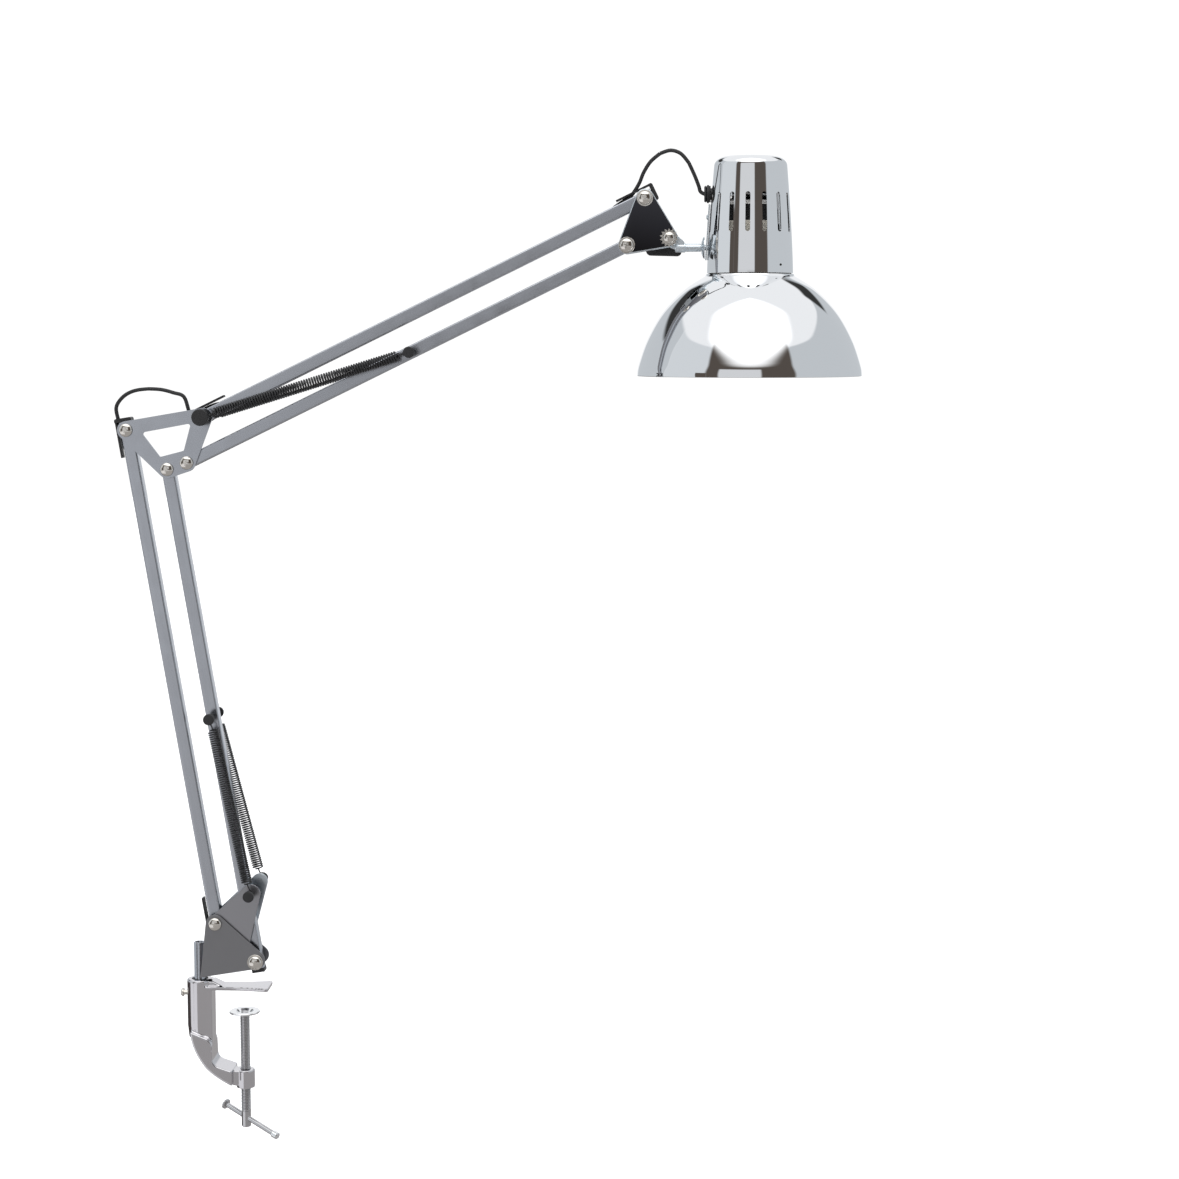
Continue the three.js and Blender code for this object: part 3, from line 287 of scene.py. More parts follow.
def second_look(made, look_name, chosen):
    """Gives the faces that the test picks a material of their own."""
    made.data.materials.append(MATERIALS[look_name])
    index = len(made.data.materials) - 1
    for face in made.data.polygons:
        if chosen(face.center / MM, face.normal):
            face.material_index = index


AXES = {
    "X": Matrix.Rotation(math.pi / 2, 4, "Y"),
    "Y": Matrix.Rotation(-math.pi / 2, 4, "X"),
    "Z": Matrix(),
}


def turned_bm(profile, steps=48, axis="Z", at=(0, 0, 0), bm=None):
    """Spins (radius, place) pairs about an axis through a point, in millimetres."""
    bm = bm or bmesh.new()
    before = set(bm.verts)
    verts = [bm.verts.new((radius, 0, place)) for radius, place in profile]
    edges = [bm.edges.new(pair) for pair in zip(verts, verts[1:])]
    bmesh.ops.spin(
        bm, geom=verts + edges, cent=(0, 0, 0), axis=(0, 0, 1),
        angle=2 * math.pi, steps=steps, use_merge=True,
    )
    fresh = [v for v in bm.verts if v not in before]
    bmesh.ops.remove_doubles(bm, verts=fresh, dist=1e-4)
    fresh = [v for v in bm.verts if v not in before]
    place = Matrix.Scale(MM, 4) @ Matrix.Translation(Vector(at)) @ AXES[axis]
    bmesh.ops.transform(bm, matrix=place, verts=fresh)
    return bm


def turned(name, profile, look_name, body, replaced, steps=48, axis="Z", at=(0, 0, 0), sharp=35):
    return piece(name, turned_bm(profile, steps, axis, at), look_name, body, replaced, sharp)


def sweep(first, last, step):
    """Angles in radians for a run of whole degrees."""
    return [math.radians(degrees) for degrees in range(first, last, step)]


def around(circles, step=8):
    """The outline round some (x, z, radius) circles, as a belt runs round pulleys."""
    count = len(circles)
    leave = []
    for (ax, az, ar), (bx, bz, br) in zip(circles, circles[1:] + circles[:1]):
        length = math.hypot(bx - ax, bz - az)
        leave.append(math.atan2(-(bx - ax), bz - az) + math.asin((ar - br) / length))
    outline = []
    for i, (x, z, radius) in enumerate(circles):
        start, end = leave[i - 1], leave[i]
        while end < start:
            end += 2 * math.pi
        parts = max(1, round(math.degrees(end - start) / step)) if radius else 0
        for k in range(parts + 1):
            angle = start + (end - start) * (k / parts if parts else 0)
            outline.append((x + radius * math.cos(angle), z + radius * math.sin(angle)))
    return outline


def plate_bm(outline, y0, y1, edge=0.25, bm=None, window=None, segments=2):
    """A sheet with its outline in the XZ plane, from y0 to y1, with rounded edges."""
    bm = bm or bmesh.new()
    before_verts, before_faces = set(bm.verts), set(bm.faces)
    loops = []
    for corners in [outline] + ([window] if window else []):
        verts = [bm.verts.new((x * MM, y0 * MM, z * MM)) for x, z in corners]
        loops.append([bm.edges.new((a, b)) for a, b in zip(verts, verts[1:] + verts[:1])])
    if window:
        bmesh.ops.triangle_fill(bm, edges=[e for loop in loops for e in loop], use_beauty=True)
    else:
        bmesh.ops.contextual_create(bm, geom=loops[0])
    faces = [f for f in bm.faces if f not in before_faces]
    grown = bmesh.ops.extrude_face_region(bm, geom=faces)
    lifted = [g for g in grown["geom"] if isinstance(g, bmesh.types.BMVert)]
    bmesh.ops.translate(bm, verts=lifted, vec=(0, (y1 - y0) * MM, 0))
    if edge:
        fresh = {v for v in bm.verts if v not in before_verts}
        bmesh.ops.recalc_face_normals(bm, faces=[f for f in bm.faces if f not in before_faces])
        rim = [
            e for e in bm.edges
            if e.verts[0] in fresh and abs(e.verts[0].co.y - e.verts[1].co.y) < 1e-7
            and len(e.link_faces) == 2 and e.calc_face_angle(0) > 1
        ]
        bmesh.ops.bevel(
            bm, geom=rim, offset=edge * MM, segments=segments, affect="EDGES",
            profile=0.5, material=-1, clamp_overlap=True,
        )
    return bm


def smooth_route(points, parts=6):
    """A smooth line through every given point."""
    ends = [points[0]] + list(points) + [points[-1]]
    route = []
    for a, b, c, d in zip(ends, ends[1:], ends[2:], ends[3:]):
        for k in range(parts):
            t = k / parts
            route.append(0.5 * (
                2 * b + (c - a) * t + (2 * a - 5 * b + 4 * c - d) * t * t
                + (3 * b - a - 3 * c + d) * t ** 3
            ))
    return route + [points[-1]]


def evaluated_mesh(holder):
    """The mesh that an object has once its modifiers or its curve settings are applied."""
    bpy.context.view_layer.update()
    return bpy.data.meshes.new_from_object(holder.evaluated_get(bpy.context.evaluated_depsgraph_get()))


def wire_mesh(name, route, radius, sides=3):
    """A round wire along a route of points in millimetres."""
    curve = bpy.data.curves.new(name + "_route", "CURVE")
    curve.dimensions = "3D"
    curve.bevel_depth = radius * MM
    curve.bevel_resolution = sides
    curve.use_fill_caps = True
    spline = curve.splines.new("POLY")
    spline.points.add(len(route) - 1)
    for point, place in zip(spline.points, route):
        point.co = (*(Vector(place) * MM), 1)
    holder = bpy.data.objects.new(name + "_route", curve)
    scene.collection.objects.link(holder)
    mesh = evaluated_mesh(holder)
    bpy.data.objects.remove(holder)
    bpy.data.curves.remove(curve)
    mesh.name = name
    return mesh


def blank(bm):
    """An object with a bmesh's shape, to be used up by a modifier."""
    bmesh.ops.recalc_face_normals(bm, faces=bm.faces)
    mesh = bpy.data.meshes.new("blank")
    bm.to_mesh(mesh)
    bm.free()
    made = bpy.data.objects.new("blank", mesh)
    scene.collection.objects.link(made)
    return made


def boolean(target, other, operation, use_self=False):
    """The target object's mesh after another object is joined to it or cut from it."""
    cut = target.modifiers.new("cut", "BOOLEAN")
    cut.operation = operation
    cut.solver = "EXACT"
    cut.object = other
    cut.use_self = use_self
    made = evaluated_mesh(target)
    bpy.data.objects.remove(other)
    return made


def carved(target_bm, cutter_bm):
    """The target's mesh less the cutter, which may cross itself."""
    target = blank(target_bm)
    made = boolean(target, blank(cutter_bm), "DIFFERENCE", use_self=True)
    bpy.data.objects.remove(target)
    return made


def box_bm(center, size, bm=None, turn=None):
    bm = bm or bmesh.new()
    shape = Matrix.Diagonal((*(Vector(size) * MM), 1))
    place = Matrix.Translation(Vector(center) * MM) @ (turn or Matrix()) @ shape
    bmesh.ops.create_cube(bm, size=1, matrix=place)
    return bm


print("building blocks ready")

# %% [markdown]
# ## The cord
#
# The black cord comes out of the lower tube at the elbow, loops over to the upper tube, and does the
# same again at the head. It has to bend as the lamp moves, so it is cut into lengths.


# %% Lay the cord
CORD_RADIUS = 1.5
GRIP_Z = 630.4


def beside(pivot, angle, places):
    """Points given by how far they lie along a tube and how far out from it."""
    found = []
    for forward, out in places:
        x, z = along(along(pivot, angle, forward), angle + 90, out)
        found.append(Vector((x, 0, z)))
    return found


def free(pivot, places):
    """Points given straight across and up from a pivot."""
    return [Vector((pivot[0] + x, 0, pivot[1] + z)) for x, z in places]


at_elbow = (
    beside(ELBOW_LEFT, LOWER_ANGLE, [(-46, 0), (-38, 0), (-30, 0.4), (-22, 2.2), (-14, 4.6)])
    + beside(ELBOW_LEFT, LOWER_ANGLE, [(-6, 5.2), (2, 5.3), (10, 6.2)])
    + free(ELBOW_LEFT, [(-8.9, 17.5), (-5.2, 24), (0.6, 28.6), (8, 31.2), (17, 32.2)])
    + free(ELBOW_LEFT, [(27, 31.6), (36.5, 29.2), (45, 25.8)])
    + beside(ELBOW_TOP, UPPER_ANGLE, [(-9.6, 7.2), (-4, 5.3), (4, 5.3), (11, 4.9)])
    + beside(ELBOW_TOP, UPPER_ANGLE, [(18, 3), (25, 0.8), (32, 0), (42, 0)])
)
entry = HEAD_X - 28.3
at_head = (
    beside(HEAD_TOP, UPPER_ANGLE, [(-60, 0), (-50, 0), (-40, 0.3), (-31, 2.2), (-23, 4.4)])
    + beside(HEAD_TOP, UPPER_ANGLE, [(-15.5, 5.4), (-8.5, 6.6)])
    + free(HEAD_TOP, [(-4.6, 11.4), (-1.2, 19.6), (4.2, 28), (11.4, 34.1), (19.6, 36.5)])
    + free(HEAD_TOP, [(27.4, 34), (33.6, 27), (38, 17.6), (41.4, 9)])
    + [Vector((entry - 10.3, 0, GRIP_Z + 2.2)), Vector((entry - 7.3, 0, GRIP_Z + 0.2))]
    + [Vector((entry - 3, 0, GRIP_Z)), Vector((entry + 3, 0, GRIP_Z))]
)


def cord(name, route, first=False):
    """One length of cord. The first one stands for the whole cord."""
    made = finish_piece(name, wire_mesh(name, smooth_route(route), CORD_RADIUS), "cord", None)
    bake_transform(made)
    if first:
        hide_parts("lamp_cord")


low_end = beside(BASE_LEFT, LOWER_ANGLE, [(14, 0)])
cord("cord_lower", low_end + at_elbow[1:13], first=True)
cord("cord_middle", at_elbow[12:-1] + at_head[1:2])
cord("cord_head_rise", at_head[1:11])
cord("cord_head_crown", at_head[10:14])
cord("cord_head_fall", at_head[13:])
print("cord laid in 5 lengths")

# %% [markdown]
# ## The springs
#
# Each spring is one continuous wire: an eye round its pin, a short shank, then a close helix, and the
# same in reverse. The spring stretches as the arm drops.


# %% Wind the springs
EYE, COIL_OUTSIDE, SHANK = 3.1, 4.47, 9.0
STEPS_A_TURN = 14
LEAD_IN = 0.6  # the share of a turn in which the coil opens to its full width


def spring(name, start, end, y, pitch, wire, replaced):
    direction = Vector((end[0] - start[0], 0, end[1] - start[1]))
    length = direction.length
    direction.normalize()
    normal = Vector((-direction.z, 0, direction.x))
    origin = Vector((start[0], y, start[1]))
    coil = COIL_OUTSIDE - wire
    local = [(EYE * math.cos(t), 0, EYE * math.sin(t)) for t in sweep(30, 330, 15)]
    local += [(4.6, 0, -0.9), (6.6, 0, -0.2)]
    coiled = length - 2 * SHANK
    turns = coiled / pitch
    count = int(turns * STEPS_A_TURN)
    for i in range(count + 1):
        share = i / count
        reach = coil * min(1, share * turns / LEAD_IN, (1 - share) * turns / LEAD_IN)
        angle = 2 * math.pi * turns * share
        local.append((SHANK + coiled * share, reach * math.cos(angle), reach * math.sin(angle)))
    local += [(length - 6.6, 0, 0.2), (length - 4.6, 0, 0.9)]
    local += [(length - EYE * math.cos(t), 0, -EYE * math.sin(t)) for t in sweep(-30, -330, -15)]
    route = [origin + direction * u + Vector((0, v, 0)) + normal * w for u, v, w in local]
    made = finish_piece(name, wire_mesh(name, route, wire, 2), "spring", None)
    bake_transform(made)
    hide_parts(replaced)


for side, turn in (("front", -1), ("back", 1)):
    anchor = ANCHOR_FRONT if side == "front" else ANCHOR_BACK
    spring("spring_lower_" + side, anchor, LOWER_PIN, turn * SPRING_PLANE, 1.75, 0.56,
           "lower_spring_" + side)
    spring("spring_upper_" + side, ELBOW_TOP, UPPER_PIN, turn * SPRING_PLANE, 2.05, 0.76,
           "upper_spring_" + side)
print("four springs wound")

# %% [markdown]
# ## Screws, nuts and caps
#
# The pivots are domed screws with a cross recess. One function makes them all: a screw is turned on
# the Y axis, two crossed bars cut its recess, and it is moved to its pivot.


# %% Make the fasteners
def screw_mesh(seat, tip, washer, head):
    """A domed screw on the Y axis: seat is the face it sits on, tip the far end of its shaft."""
    under = -(seat + GAP)
    face = under - (0.9 if washer else 0)
    profile = [(0, tip), (1.7, tip), (2, tip - 0.5), (2, under)]
    if washer:
        profile += [(6.1, under), (6.3, under - 0.2), (6.3, face + 0.2), (6.1, face)]
    dome = [(head * math.cos(t), face - 0.5 - 2.2 * math.sin(t)) for t in sweep(0, 91, 10)]
    profile += [(head, face)] + dome[:-1] + [(0, face - 2.7)]
    target = turned_bm(profile, 40, "Y")
    cutter = bmesh.new()
    for turn in (0, 90):
        spun = Matrix.Rotation(math.radians(turn + 20), 4, "Y")
        box_bm((0, face - 2.7, 0), (4.6, 2.2, 0.9), cutter, spun)
    return carved(target, cutter)


HEAD_RADIUS, SMALL_HEAD_RADIUS = 5.3, 4.6
SCREWS = {  # pivot, seat, has a washer, body
    "base_left_screw": (BASE_LEFT, BASE_SHEET[1], False, "base"),
    "base_right_screw": (BASE_RIGHT, BASE_SHEET[1], True, "base"),
    "elbow_left_screw": (ELBOW_LEFT, ELBOW_SHEET[1], False, "elbow"),
    "elbow_middle_screw": (ELBOW_MIDDLE, ELBOW_SHEET[1], False, "elbow"),
    "elbow_right_screw": (ELBOW_RIGHT, ELBOW_SHEET[1], False, "elbow"),
    "head_top_screw": (HEAD_TOP, HEAD_SHEET[1], True, "head_mount"),
    "head_bottom_screw": (HEAD_BOTTOM, HEAD_SHEET[1], True, "head_mount"),
    "tilt_screw": (TILT, 9.0, False, "head_mount"),
}
for name, (at, seat, washer, body) in SCREWS.items():
    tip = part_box(name)[1].y / MM
    mesh = screw_mesh(seat, tip, washer, SMALL_HEAD_RADIUS if name == "tilt_screw" else HEAD_RADIUS)
    mesh.transform(Matrix.Translation((at[0] * MM, 0, at[1] * MM)))
    finish_piece("domed_" + name, mesh, "nickel", body, [name], 40)

NUT_RADIUS, NUT_HEIGHT = 4.6, 3.2
NUTS = {  # pivot, seat, body
    "base_left_nut": (BASE_LEFT, BASE_SHEET[1], "base"),
    "base_right_nut": (BASE_RIGHT, BASE_SHEET[1], "base"),
    "elbow_left_nut": (ELBOW_LEFT, TUBE_HALF, "elbow"),
    "elbow_middle_nut": (ELBOW_MIDDLE, TUBE_HALF, "elbow"),
    "elbow_right_nut": (ELBOW_RIGHT, TUBE_HALF, "elbow"),
    "head_top_nut": (HEAD_TOP, HEAD_SHEET[1], "head_mount"),
    "head_bottom_nut": (HEAD_BOTTOM, HEAD_SHEET[1], "head_mount"),
}
for name, (at, seat, body) in NUTS.items():
    hexagon = [along(at, 60 * i, NUT_RADIUS) for i in range(6)]
    bm = plate_bm(hexagon, seat + GAP, seat + GAP + NUT_HEIGHT, 0.35)
    piece("hexagon_" + name, bm, "nickel", body, [name], 30, True)
print(len(SCREWS), "screws with cross recesses and", len(NUTS), "nuts")


# %% Cap the spring pins
def cap_profile(radius, start, height, way):
    """A rounded cap from its open face outwards; way is the direction along the pin."""
    edge = 0.9
    points = [(0, start), (radius - 0.3, start), (radius, start + way * 0.3)]
    for t in sweep(0, 91, 15):
        points.append((radius - edge + edge * math.cos(t), start + way * (height - edge + edge * math.sin(t))))
    return points + [(0, start + way * height)]


CAP_START = SPRING_PLANE + 4.5 + GAP
PIN_RADIUS, PIN_CAP, KNOB_CAP = 2.2, (4.4, 3.2), (6.6, 4.2)


def capped_pin(name, at, front, back, body, replaced, front_cap=PIN_CAP):
    """A pin from front to back along Y, with black caps on the ends that reach past the springs."""
    place = (at[0], 0, at[1])
    shaft = [(0, front), (PIN_RADIUS, front), (PIN_RADIUS, back), (0, back)]
    bm = turned_bm(shaft, 32, "Y", place)
    if front == -CAP_START:
        turned_bm(cap_profile(front_cap[0], front, front_cap[1], -1), 40, "Y", place, bm)
    if back == CAP_START:
        turned_bm(cap_profile(PIN_CAP[0], back, PIN_CAP[1], 1), 40, "Y", place, bm)
    return piece(name, bm, "black", body, [replaced], 40)


capped_pin("lower_pin_capped", LOWER_PIN, -CAP_START, CAP_START, "lower_follower", "lower_spring_pin")
capped_pin("upper_pin_capped", UPPER_PIN, -CAP_START, CAP_START, "upper_follower", "upper_spring_pin")
capped_pin("elbow_knob", ELBOW_TOP, -CAP_START, CAP_START, "elbow", "elbow_knob_pin", KNOB_CAP)
capped_pin("anchor_pin_front_capped", ANCHOR_FRONT, -CAP_START, -6, "base", "anchor_pin_front")
rivet = capped_pin("anchor_pin_back_capped", ANCHOR_BACK, 6, CAP_START, "base", "anchor_pin_back")
second_look(rivet, "zinc", lambda place, normal: place.y < 9)
print("pins capped")

# %% [markdown]
# ## Plates
#
# The elbow plate, the base bracket, the spring anchors and the head bracket are pressed sheet. Their
# outlines are belts round circles, so a round corner is a true arc, and their edges are rounded just
# enough to catch a line of light.


# %% Press the plates
def front(sheet):
    """The front sheet of a pair, from its outer face to its inner one."""
    return -sheet[1], -sheet[0]


elbow_outline = around([(*ELBOW_MIDDLE, 7), (*ELBOW_RIGHT, 7), (*ELBOW_TOP, 7), (*ELBOW_LEFT, 7)])
window = around([
    (ELBOW_MIDDLE[0] - 4.6, ELBOW_MIDDLE[1] + 11.6, 1.6),
    (ELBOW_RIGHT[0] - 3.3, ELBOW_RIGHT[1] + 10.8, 1.6),
    (ELBOW_TOP[0] - 12.2, ELBOW_TOP[1] - 7.2, 1.6),
    (ELBOW_LEFT[0] + 15.2, ELBOW_LEFT[1] - 3, 1.6),
])
bm = plate_bm(elbow_outline, *front(ELBOW_SHEET), 0.3, window=window)
piece("elbow_plate_pressed", bm, "satin", "elbow", ["elbow_plate"], 30, True)

WEB_X, WEB_FOOT, WEB_TOP = -31, 10.7, 37.6
side_outline = around([
    (WEB_X - 2.6, WEB_FOOT, 0), (BASE_RIGHT[0] + 0.6, BASE_RIGHT[1] + 1.6, 7.2), (*BASE_LEFT, 7.6),
])
bm = plate_bm(side_outline, *front(BASE_SHEET), 0.25)
plate_bm(side_outline, *BASE_SHEET, 0.25, bm)
box_bm((WEB_X + 0.75, 0, (WEB_FOOT + WEB_TOP) / 2), (1.5, 19.4, WEB_TOP - WEB_FOOT - 0.4), bm)
piece("base_bracket_pressed", bm, "grey_sheet", "base", ["base_bracket"], 30, True)

for name, sheet, anchor, radius, look_name in [
    ("spring_anchor_front", front(ANCHOR_SHEET), ANCHOR_FRONT, 7.4, "light_sheet"),
    ("spring_anchor_back", ANCHOR_SHEET, ANCHOR_BACK, 6.4, "zinc"),
]:
    outline = around([
        (BASE_LEFT[0] + 21, BASE_LEFT[1] - 21, 5), (*anchor, radius), (*BASE_LEFT, 6.2),
    ])
    piece(name + "_pressed", plate_bm(outline, *sheet, 0.25), look_name, "base", [name], 30, True)

outline = around([(*HEAD_BOTTOM, 6.6), (*TILT, 6.8), (*HEAD_TOP, 7)])
bm = plate_bm(outline, *front(HEAD_SHEET), 0.7, segments=3)
plate_bm(outline, *HEAD_SHEET, 0.7, bm, segments=3)
slope = (TILT[1] - 6.8 - HEAD_BOTTOM[1] + 6.6) / (TILT[0] - HEAD_BOTTOM[0])
left, right = HEAD_BOTTOM[0] + 8.4, TILT[0] - 13
WEB_SHEET = 1.4


def lower_edge(x):
    return HEAD_BOTTOM[1] - 6.5 + (x - HEAD_BOTTOM[0]) * slope


web = [
    (left, lower_edge(left)), (right, lower_edge(right)),
    (right, lower_edge(right) + WEB_SHEET), (left, lower_edge(left) + WEB_SHEET),
]
plate_bm(web, -7.6, 7.6, 0, bm)
# The bracket's faces carry a painted dark reflection, and the zinc on its edges and web is a painted highlight
# round the rim.
bracket = piece("head_bracket_pressed", bm, "chrome_painted_dark", "head_mount", ["head_bracket"], 30, True)
second_look(bracket, "zinc", lambda place, normal: abs(normal.y) < 0.98)
print("plates pressed")

# %% [markdown]
# ## The shade and its cap
#
# Mirror chrome shows every fault in a surface, so these two are turned finely. The cap's slots are
# cut afterwards, and then each face of its wall is given the smooth cone's own direction again, so
# the cuts leave no ripples in the reflections.


# %% Turn the shade
SHADE_POINTS = [(34.8, 567.5), (50.7, 557.1), (67, 540), (79, 519.1), (85.9, 499.5), (87.2, 491.2)]
SHADE_SHEET = 1.1
outer = [(p.x, p.z) for p in smooth_route([Vector((x, 0, z)) for x, z in SHADE_POINTS], 8)]
inner = []
for i, (radius, height) in enumerate(outer):
    before, after = outer[max(0, i - 1)], outer[min(len(outer) - 1, i + 1)]
    tangent = Vector((after[0] - before[0], after[1] - before[1])).normalized()
    inner.append((radius + tangent.y * SHADE_SHEET, height - tangent.x * SHADE_SHEET))
shade_profile = (
    [(21, 569.4), (33, 569.4), (34.1, 569.0)] + outer + [(86.8, 490.9), (86.2, 491.2)]
    + inner[::-1][1:] + [(33, 568.3), (21, 568.3), (21, 569.4)]
)
turned("shade_spun", shade_profile, "chrome", "shade_head", ["shade"], 128, "Z", (HEAD_X, 0, 0), 40)
print("shade turned")

# %% Turn the cap, cut its slots and straighten its shading
CAP_BOTTOM, CAP_SHOULDER, CAP_TOP = 569.8, 651.4, 658.9
FOOT_RADIUS, SHOULDER_RADIUS, CROWN_INSET = 33.4, 28.3, 9.75
CAP_SHEET, WALL_STEP = 1.2, 5.1


def cap_radius(z):
    share = (z - CAP_BOTTOM) / (CAP_SHOULDER - CAP_BOTTOM)
    return FOOT_RADIUS - 5.1 * share ** 1.35


outer = [(cap_radius(CAP_BOTTOM + i * WALL_STEP), CAP_BOTTOM + i * WALL_STEP) for i in range(17)]
rounded = CAP_TOP - CAP_SHOULDER
for t in sweep(9, 91, 9):
    outer.append((SHOULDER_RADIUS - CROWN_INSET * (1 - math.cos(t)), CAP_SHOULDER + rounded * math.sin(t)))
inner = [(r - CAP_SHEET, z - CAP_SHEET * max(0, z - CAP_SHOULDER) / rounded) for r, z in outer]
cap_bm = turned_bm([(0, CAP_TOP - CAP_SHEET)] + inner[::-1] + outer + [(0, CAP_TOP)], 120)

SLOT_COUNT, FIRST_SLOT = 15, -4.8
SLOT_WIDTH, SLOT_FOOT, SLOT_HEAD = 3.7, 600.8, 630.8
DRILL_FROM, DRILL_TO = -40, -20
cutter = bmesh.new()
half = SLOT_WIDTH / 2
stadium = around([(0, SLOT_FOOT + half, half), (0, SLOT_HEAD - half, half)], 15)
for i in range(SLOT_COUNT):
    start = set(cutter.verts)
    plate_bm(stadium, DRILL_FROM, DRILL_TO, 0, cutter)
    turn = Matrix.Rotation(math.radians(FIRST_SLOT + 360 / SLOT_COUNT * i), 4, "Z")
    bmesh.ops.transform(cutter, matrix=turn, verts=[v for v in cutter.verts if v not in start])
for radius, sides, axis, at in [
    (2.3, 20, "X", (0, 0, ROD_Z)),  # for the swivel rod
    (4.9, 24, "X", (0, 0, GRIP_Z)),  # for the cord grip
    (0.9, 16, "Y", (22.8, 0, 575.8)),  # a pip low on the wall
]:
    drill = [(0, DRILL_FROM), (radius, DRILL_FROM), (radius, DRILL_TO), (0, DRILL_TO)]
    turned_bm(drill, sides, axis, at, cutter)
cap_mesh = carved(cap_bm, cutter)


def cap_normal(point):
    """The direction that the smooth wall faces at a point, or None above the wall."""
    x, y, z = point.x / MM, point.y / MM, point.z / MM
    if z > CAP_SHOULDER:
        return None
    reach = math.hypot(x, y)
    rise = min(1, z + 0.5 - CAP_BOTTOM)
    slope = (cap_radius(z + 0.5) - cap_radius(max(CAP_BOTTOM, z - 0.5))) / rise
    return Vector((x / reach, y / reach, -slope)).normalized()


normals = []
for face in cap_mesh.polygons:
    for index in face.vertices:
        co = cap_mesh.vertices[index].co
        best = face.normal.copy()
        smooth = cap_normal(co) if math.hypot(co.x, co.y) > 20 * MM else None
        if smooth and abs(smooth.dot(face.normal)) > 0.9:
            best = smooth if smooth.dot(face.normal) > 0 else -smooth
        elif co.z / MM > CAP_SHOULDER and math.hypot(co.x, co.y) > 1e-6:
            best = None
        normals.append(best)
cap_mesh.transform(Matrix.Translation((HEAD_X * MM, 0, 0)))
cap_mesh.shade_smooth()
cap_mesh.set_sharp_from_angle(angle=math.radians(35))
fallback = [cn.vector.copy() for cn in cap_mesh.corner_normals]
cap_mesh.normals_split_custom_set([n if n is not None else f for n, f in zip(normals, fallback)])
finish_piece("socket_cap_slotted", cap_mesh, "chrome", "shade_head", ["socket_cap"], 0)
print("cap has", len(cap_mesh.polygons), "faces")

# %% Dress the swivel, the strip and the cord grip
STRIP_FOOT, STRIP_HEAD, STRIP_SHEET, RIVET_Z = 580, 622.4, 1.2, 612.8
lean = (cap_radius(STRIP_FOOT) - cap_radius(STRIP_HEAD)) / 42.4


def strip_inside(z):
    """Where the strip's inner face lies at a height: it leans with the cap's wall."""
    return HEAD_X - cap_radius(STRIP_FOOT) - 0.36 + (z - STRIP_FOOT) * lean


strip = [
    (strip_inside(STRIP_FOOT) - STRIP_SHEET, STRIP_FOOT), (strip_inside(STRIP_FOOT), STRIP_FOOT),
    (strip_inside(STRIP_HEAD), STRIP_HEAD), (strip_inside(STRIP_HEAD) - STRIP_SHEET, STRIP_HEAD),
]
bm = plate_bm(strip, -4.5, 4.5, 0.2)
rivet_profile = [(0, -1.2), (1.2, -1.0), (2, -0.4), (2.2, 0.3), (0, 0.3)]
turned_bm(rivet_profile, 24, "X", (strip_inside(RIVET_Z) - STRIP_SHEET, 0, RIVET_Z), bm)
piece("mounting_strip_riveted", bm, "zinc", "shade_head", ["mounting_strip"], 35, True)

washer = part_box("swivel_washer")
x0, x1 = washer[0].x / MM, washer[1].x / MM
profile = [
    (2.3, x0), (4.4, x0), (6.4, x0 + 0.8), (7.8, x0 + (x1 - x0) * 0.5), (8.4, x1 - 0.7), (8.4, x1),
    (2.3, x1), (2.3, x0),
]
turned("swivel_washer_domed", profile, "zinc", "shade_head", ["swivel_washer"], 40, "X", (0, 0, ROD_Z))

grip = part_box("cord_grip")
x0, x1 = grip[0].x / MM, grip[1].x / MM
profile = [
    (1.9, x0), (5.4, x0), (6.2, x0 + 0.5), (6.4, x0 + 1.2), (5.7, x0 + 1.7), (6.9, x0 + 2.3),
    (7, x0 + 3.4), (6.2, x0 + 4.0), (6.4, x0 + 4.7), (5.9, x0 + 5), (4.5, x0 + 5), (4.5, x1),
    (1.9, x1), (1.9, x0),
]
turned("cord_grip_ribbed", profile, "black", "shade_head", ["cord_grip"], 32, "X", (0, 0, GRIP_Z))

TILT_X, TILT_Z = TILT
barrel = [(0, -6), (5.6, -6), (6.2, -5.4), (6.2, 5.4), (5.6, 6), (0, 6)]
bm = turned_bm(barrel, 40, "Y", (TILT_X, 0, TILT_Z))
neck = around([
    (TILT_X + 2, ROD_Z + 3.4, 3.6), (TILT_X + 8.6, ROD_Z, 3.1), (TILT_X + 8.6, ROD_Z + 3.2, 3.1),
    (TILT_X + 2, TILT_Z + 1, 3.6),
])
plate_bm(neck, -3.1, 3.1, 0.5, bm)
rod_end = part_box("tilt_stub")[1].x / MM
rod = [
    (0, TILT_X + 4.6), (3.4, TILT_X + 4.6), (3.7, TILT_X + 5.2), (3.7, TILT_X + 12.2),
    (3.1, TILT_X + 12.6), (3.1, TILT_X + 24.2), (2.7, TILT_X + 24.6), (2, TILT_X + 24.6),
    (2, rod_end), (0, rod_end),
]
turned_bm(rod, 40, "X", (0, 0, ROD_Z), bm)
piece("tilt_stub_turned", bm, "zinc", "tilt", ["tilt_stub"], 35, True)
print("swivel dressed")

# %% Dress the tilt joint
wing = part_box("wing_nut")
y0, y1 = wing[0].y / MM, wing[1].y / MM
boss = [(2.3, y0), (6.1, y0), (6.6, y0 + 0.6), (6.2, y1 - 1), (5.2, y1), (2.3, y1), (2.3, y0)]
bm = turned_bm(boss, 32, "Y", (TILT_X, 0, TILT_Z))
lobes = around([(TILT_X - 14.2, TILT_Z - 9, 4), (TILT_X + 6, TILT_Z - 10, 3.5), (TILT_X, TILT_Z, 5)])
plate_bm(lobes, y0 + 2.5, y0 + 6.5, 1.2, bm, segments=3)
piece("wing_nut_moulded", bm, "black", "wing", ["wing_nut"], 35, True)

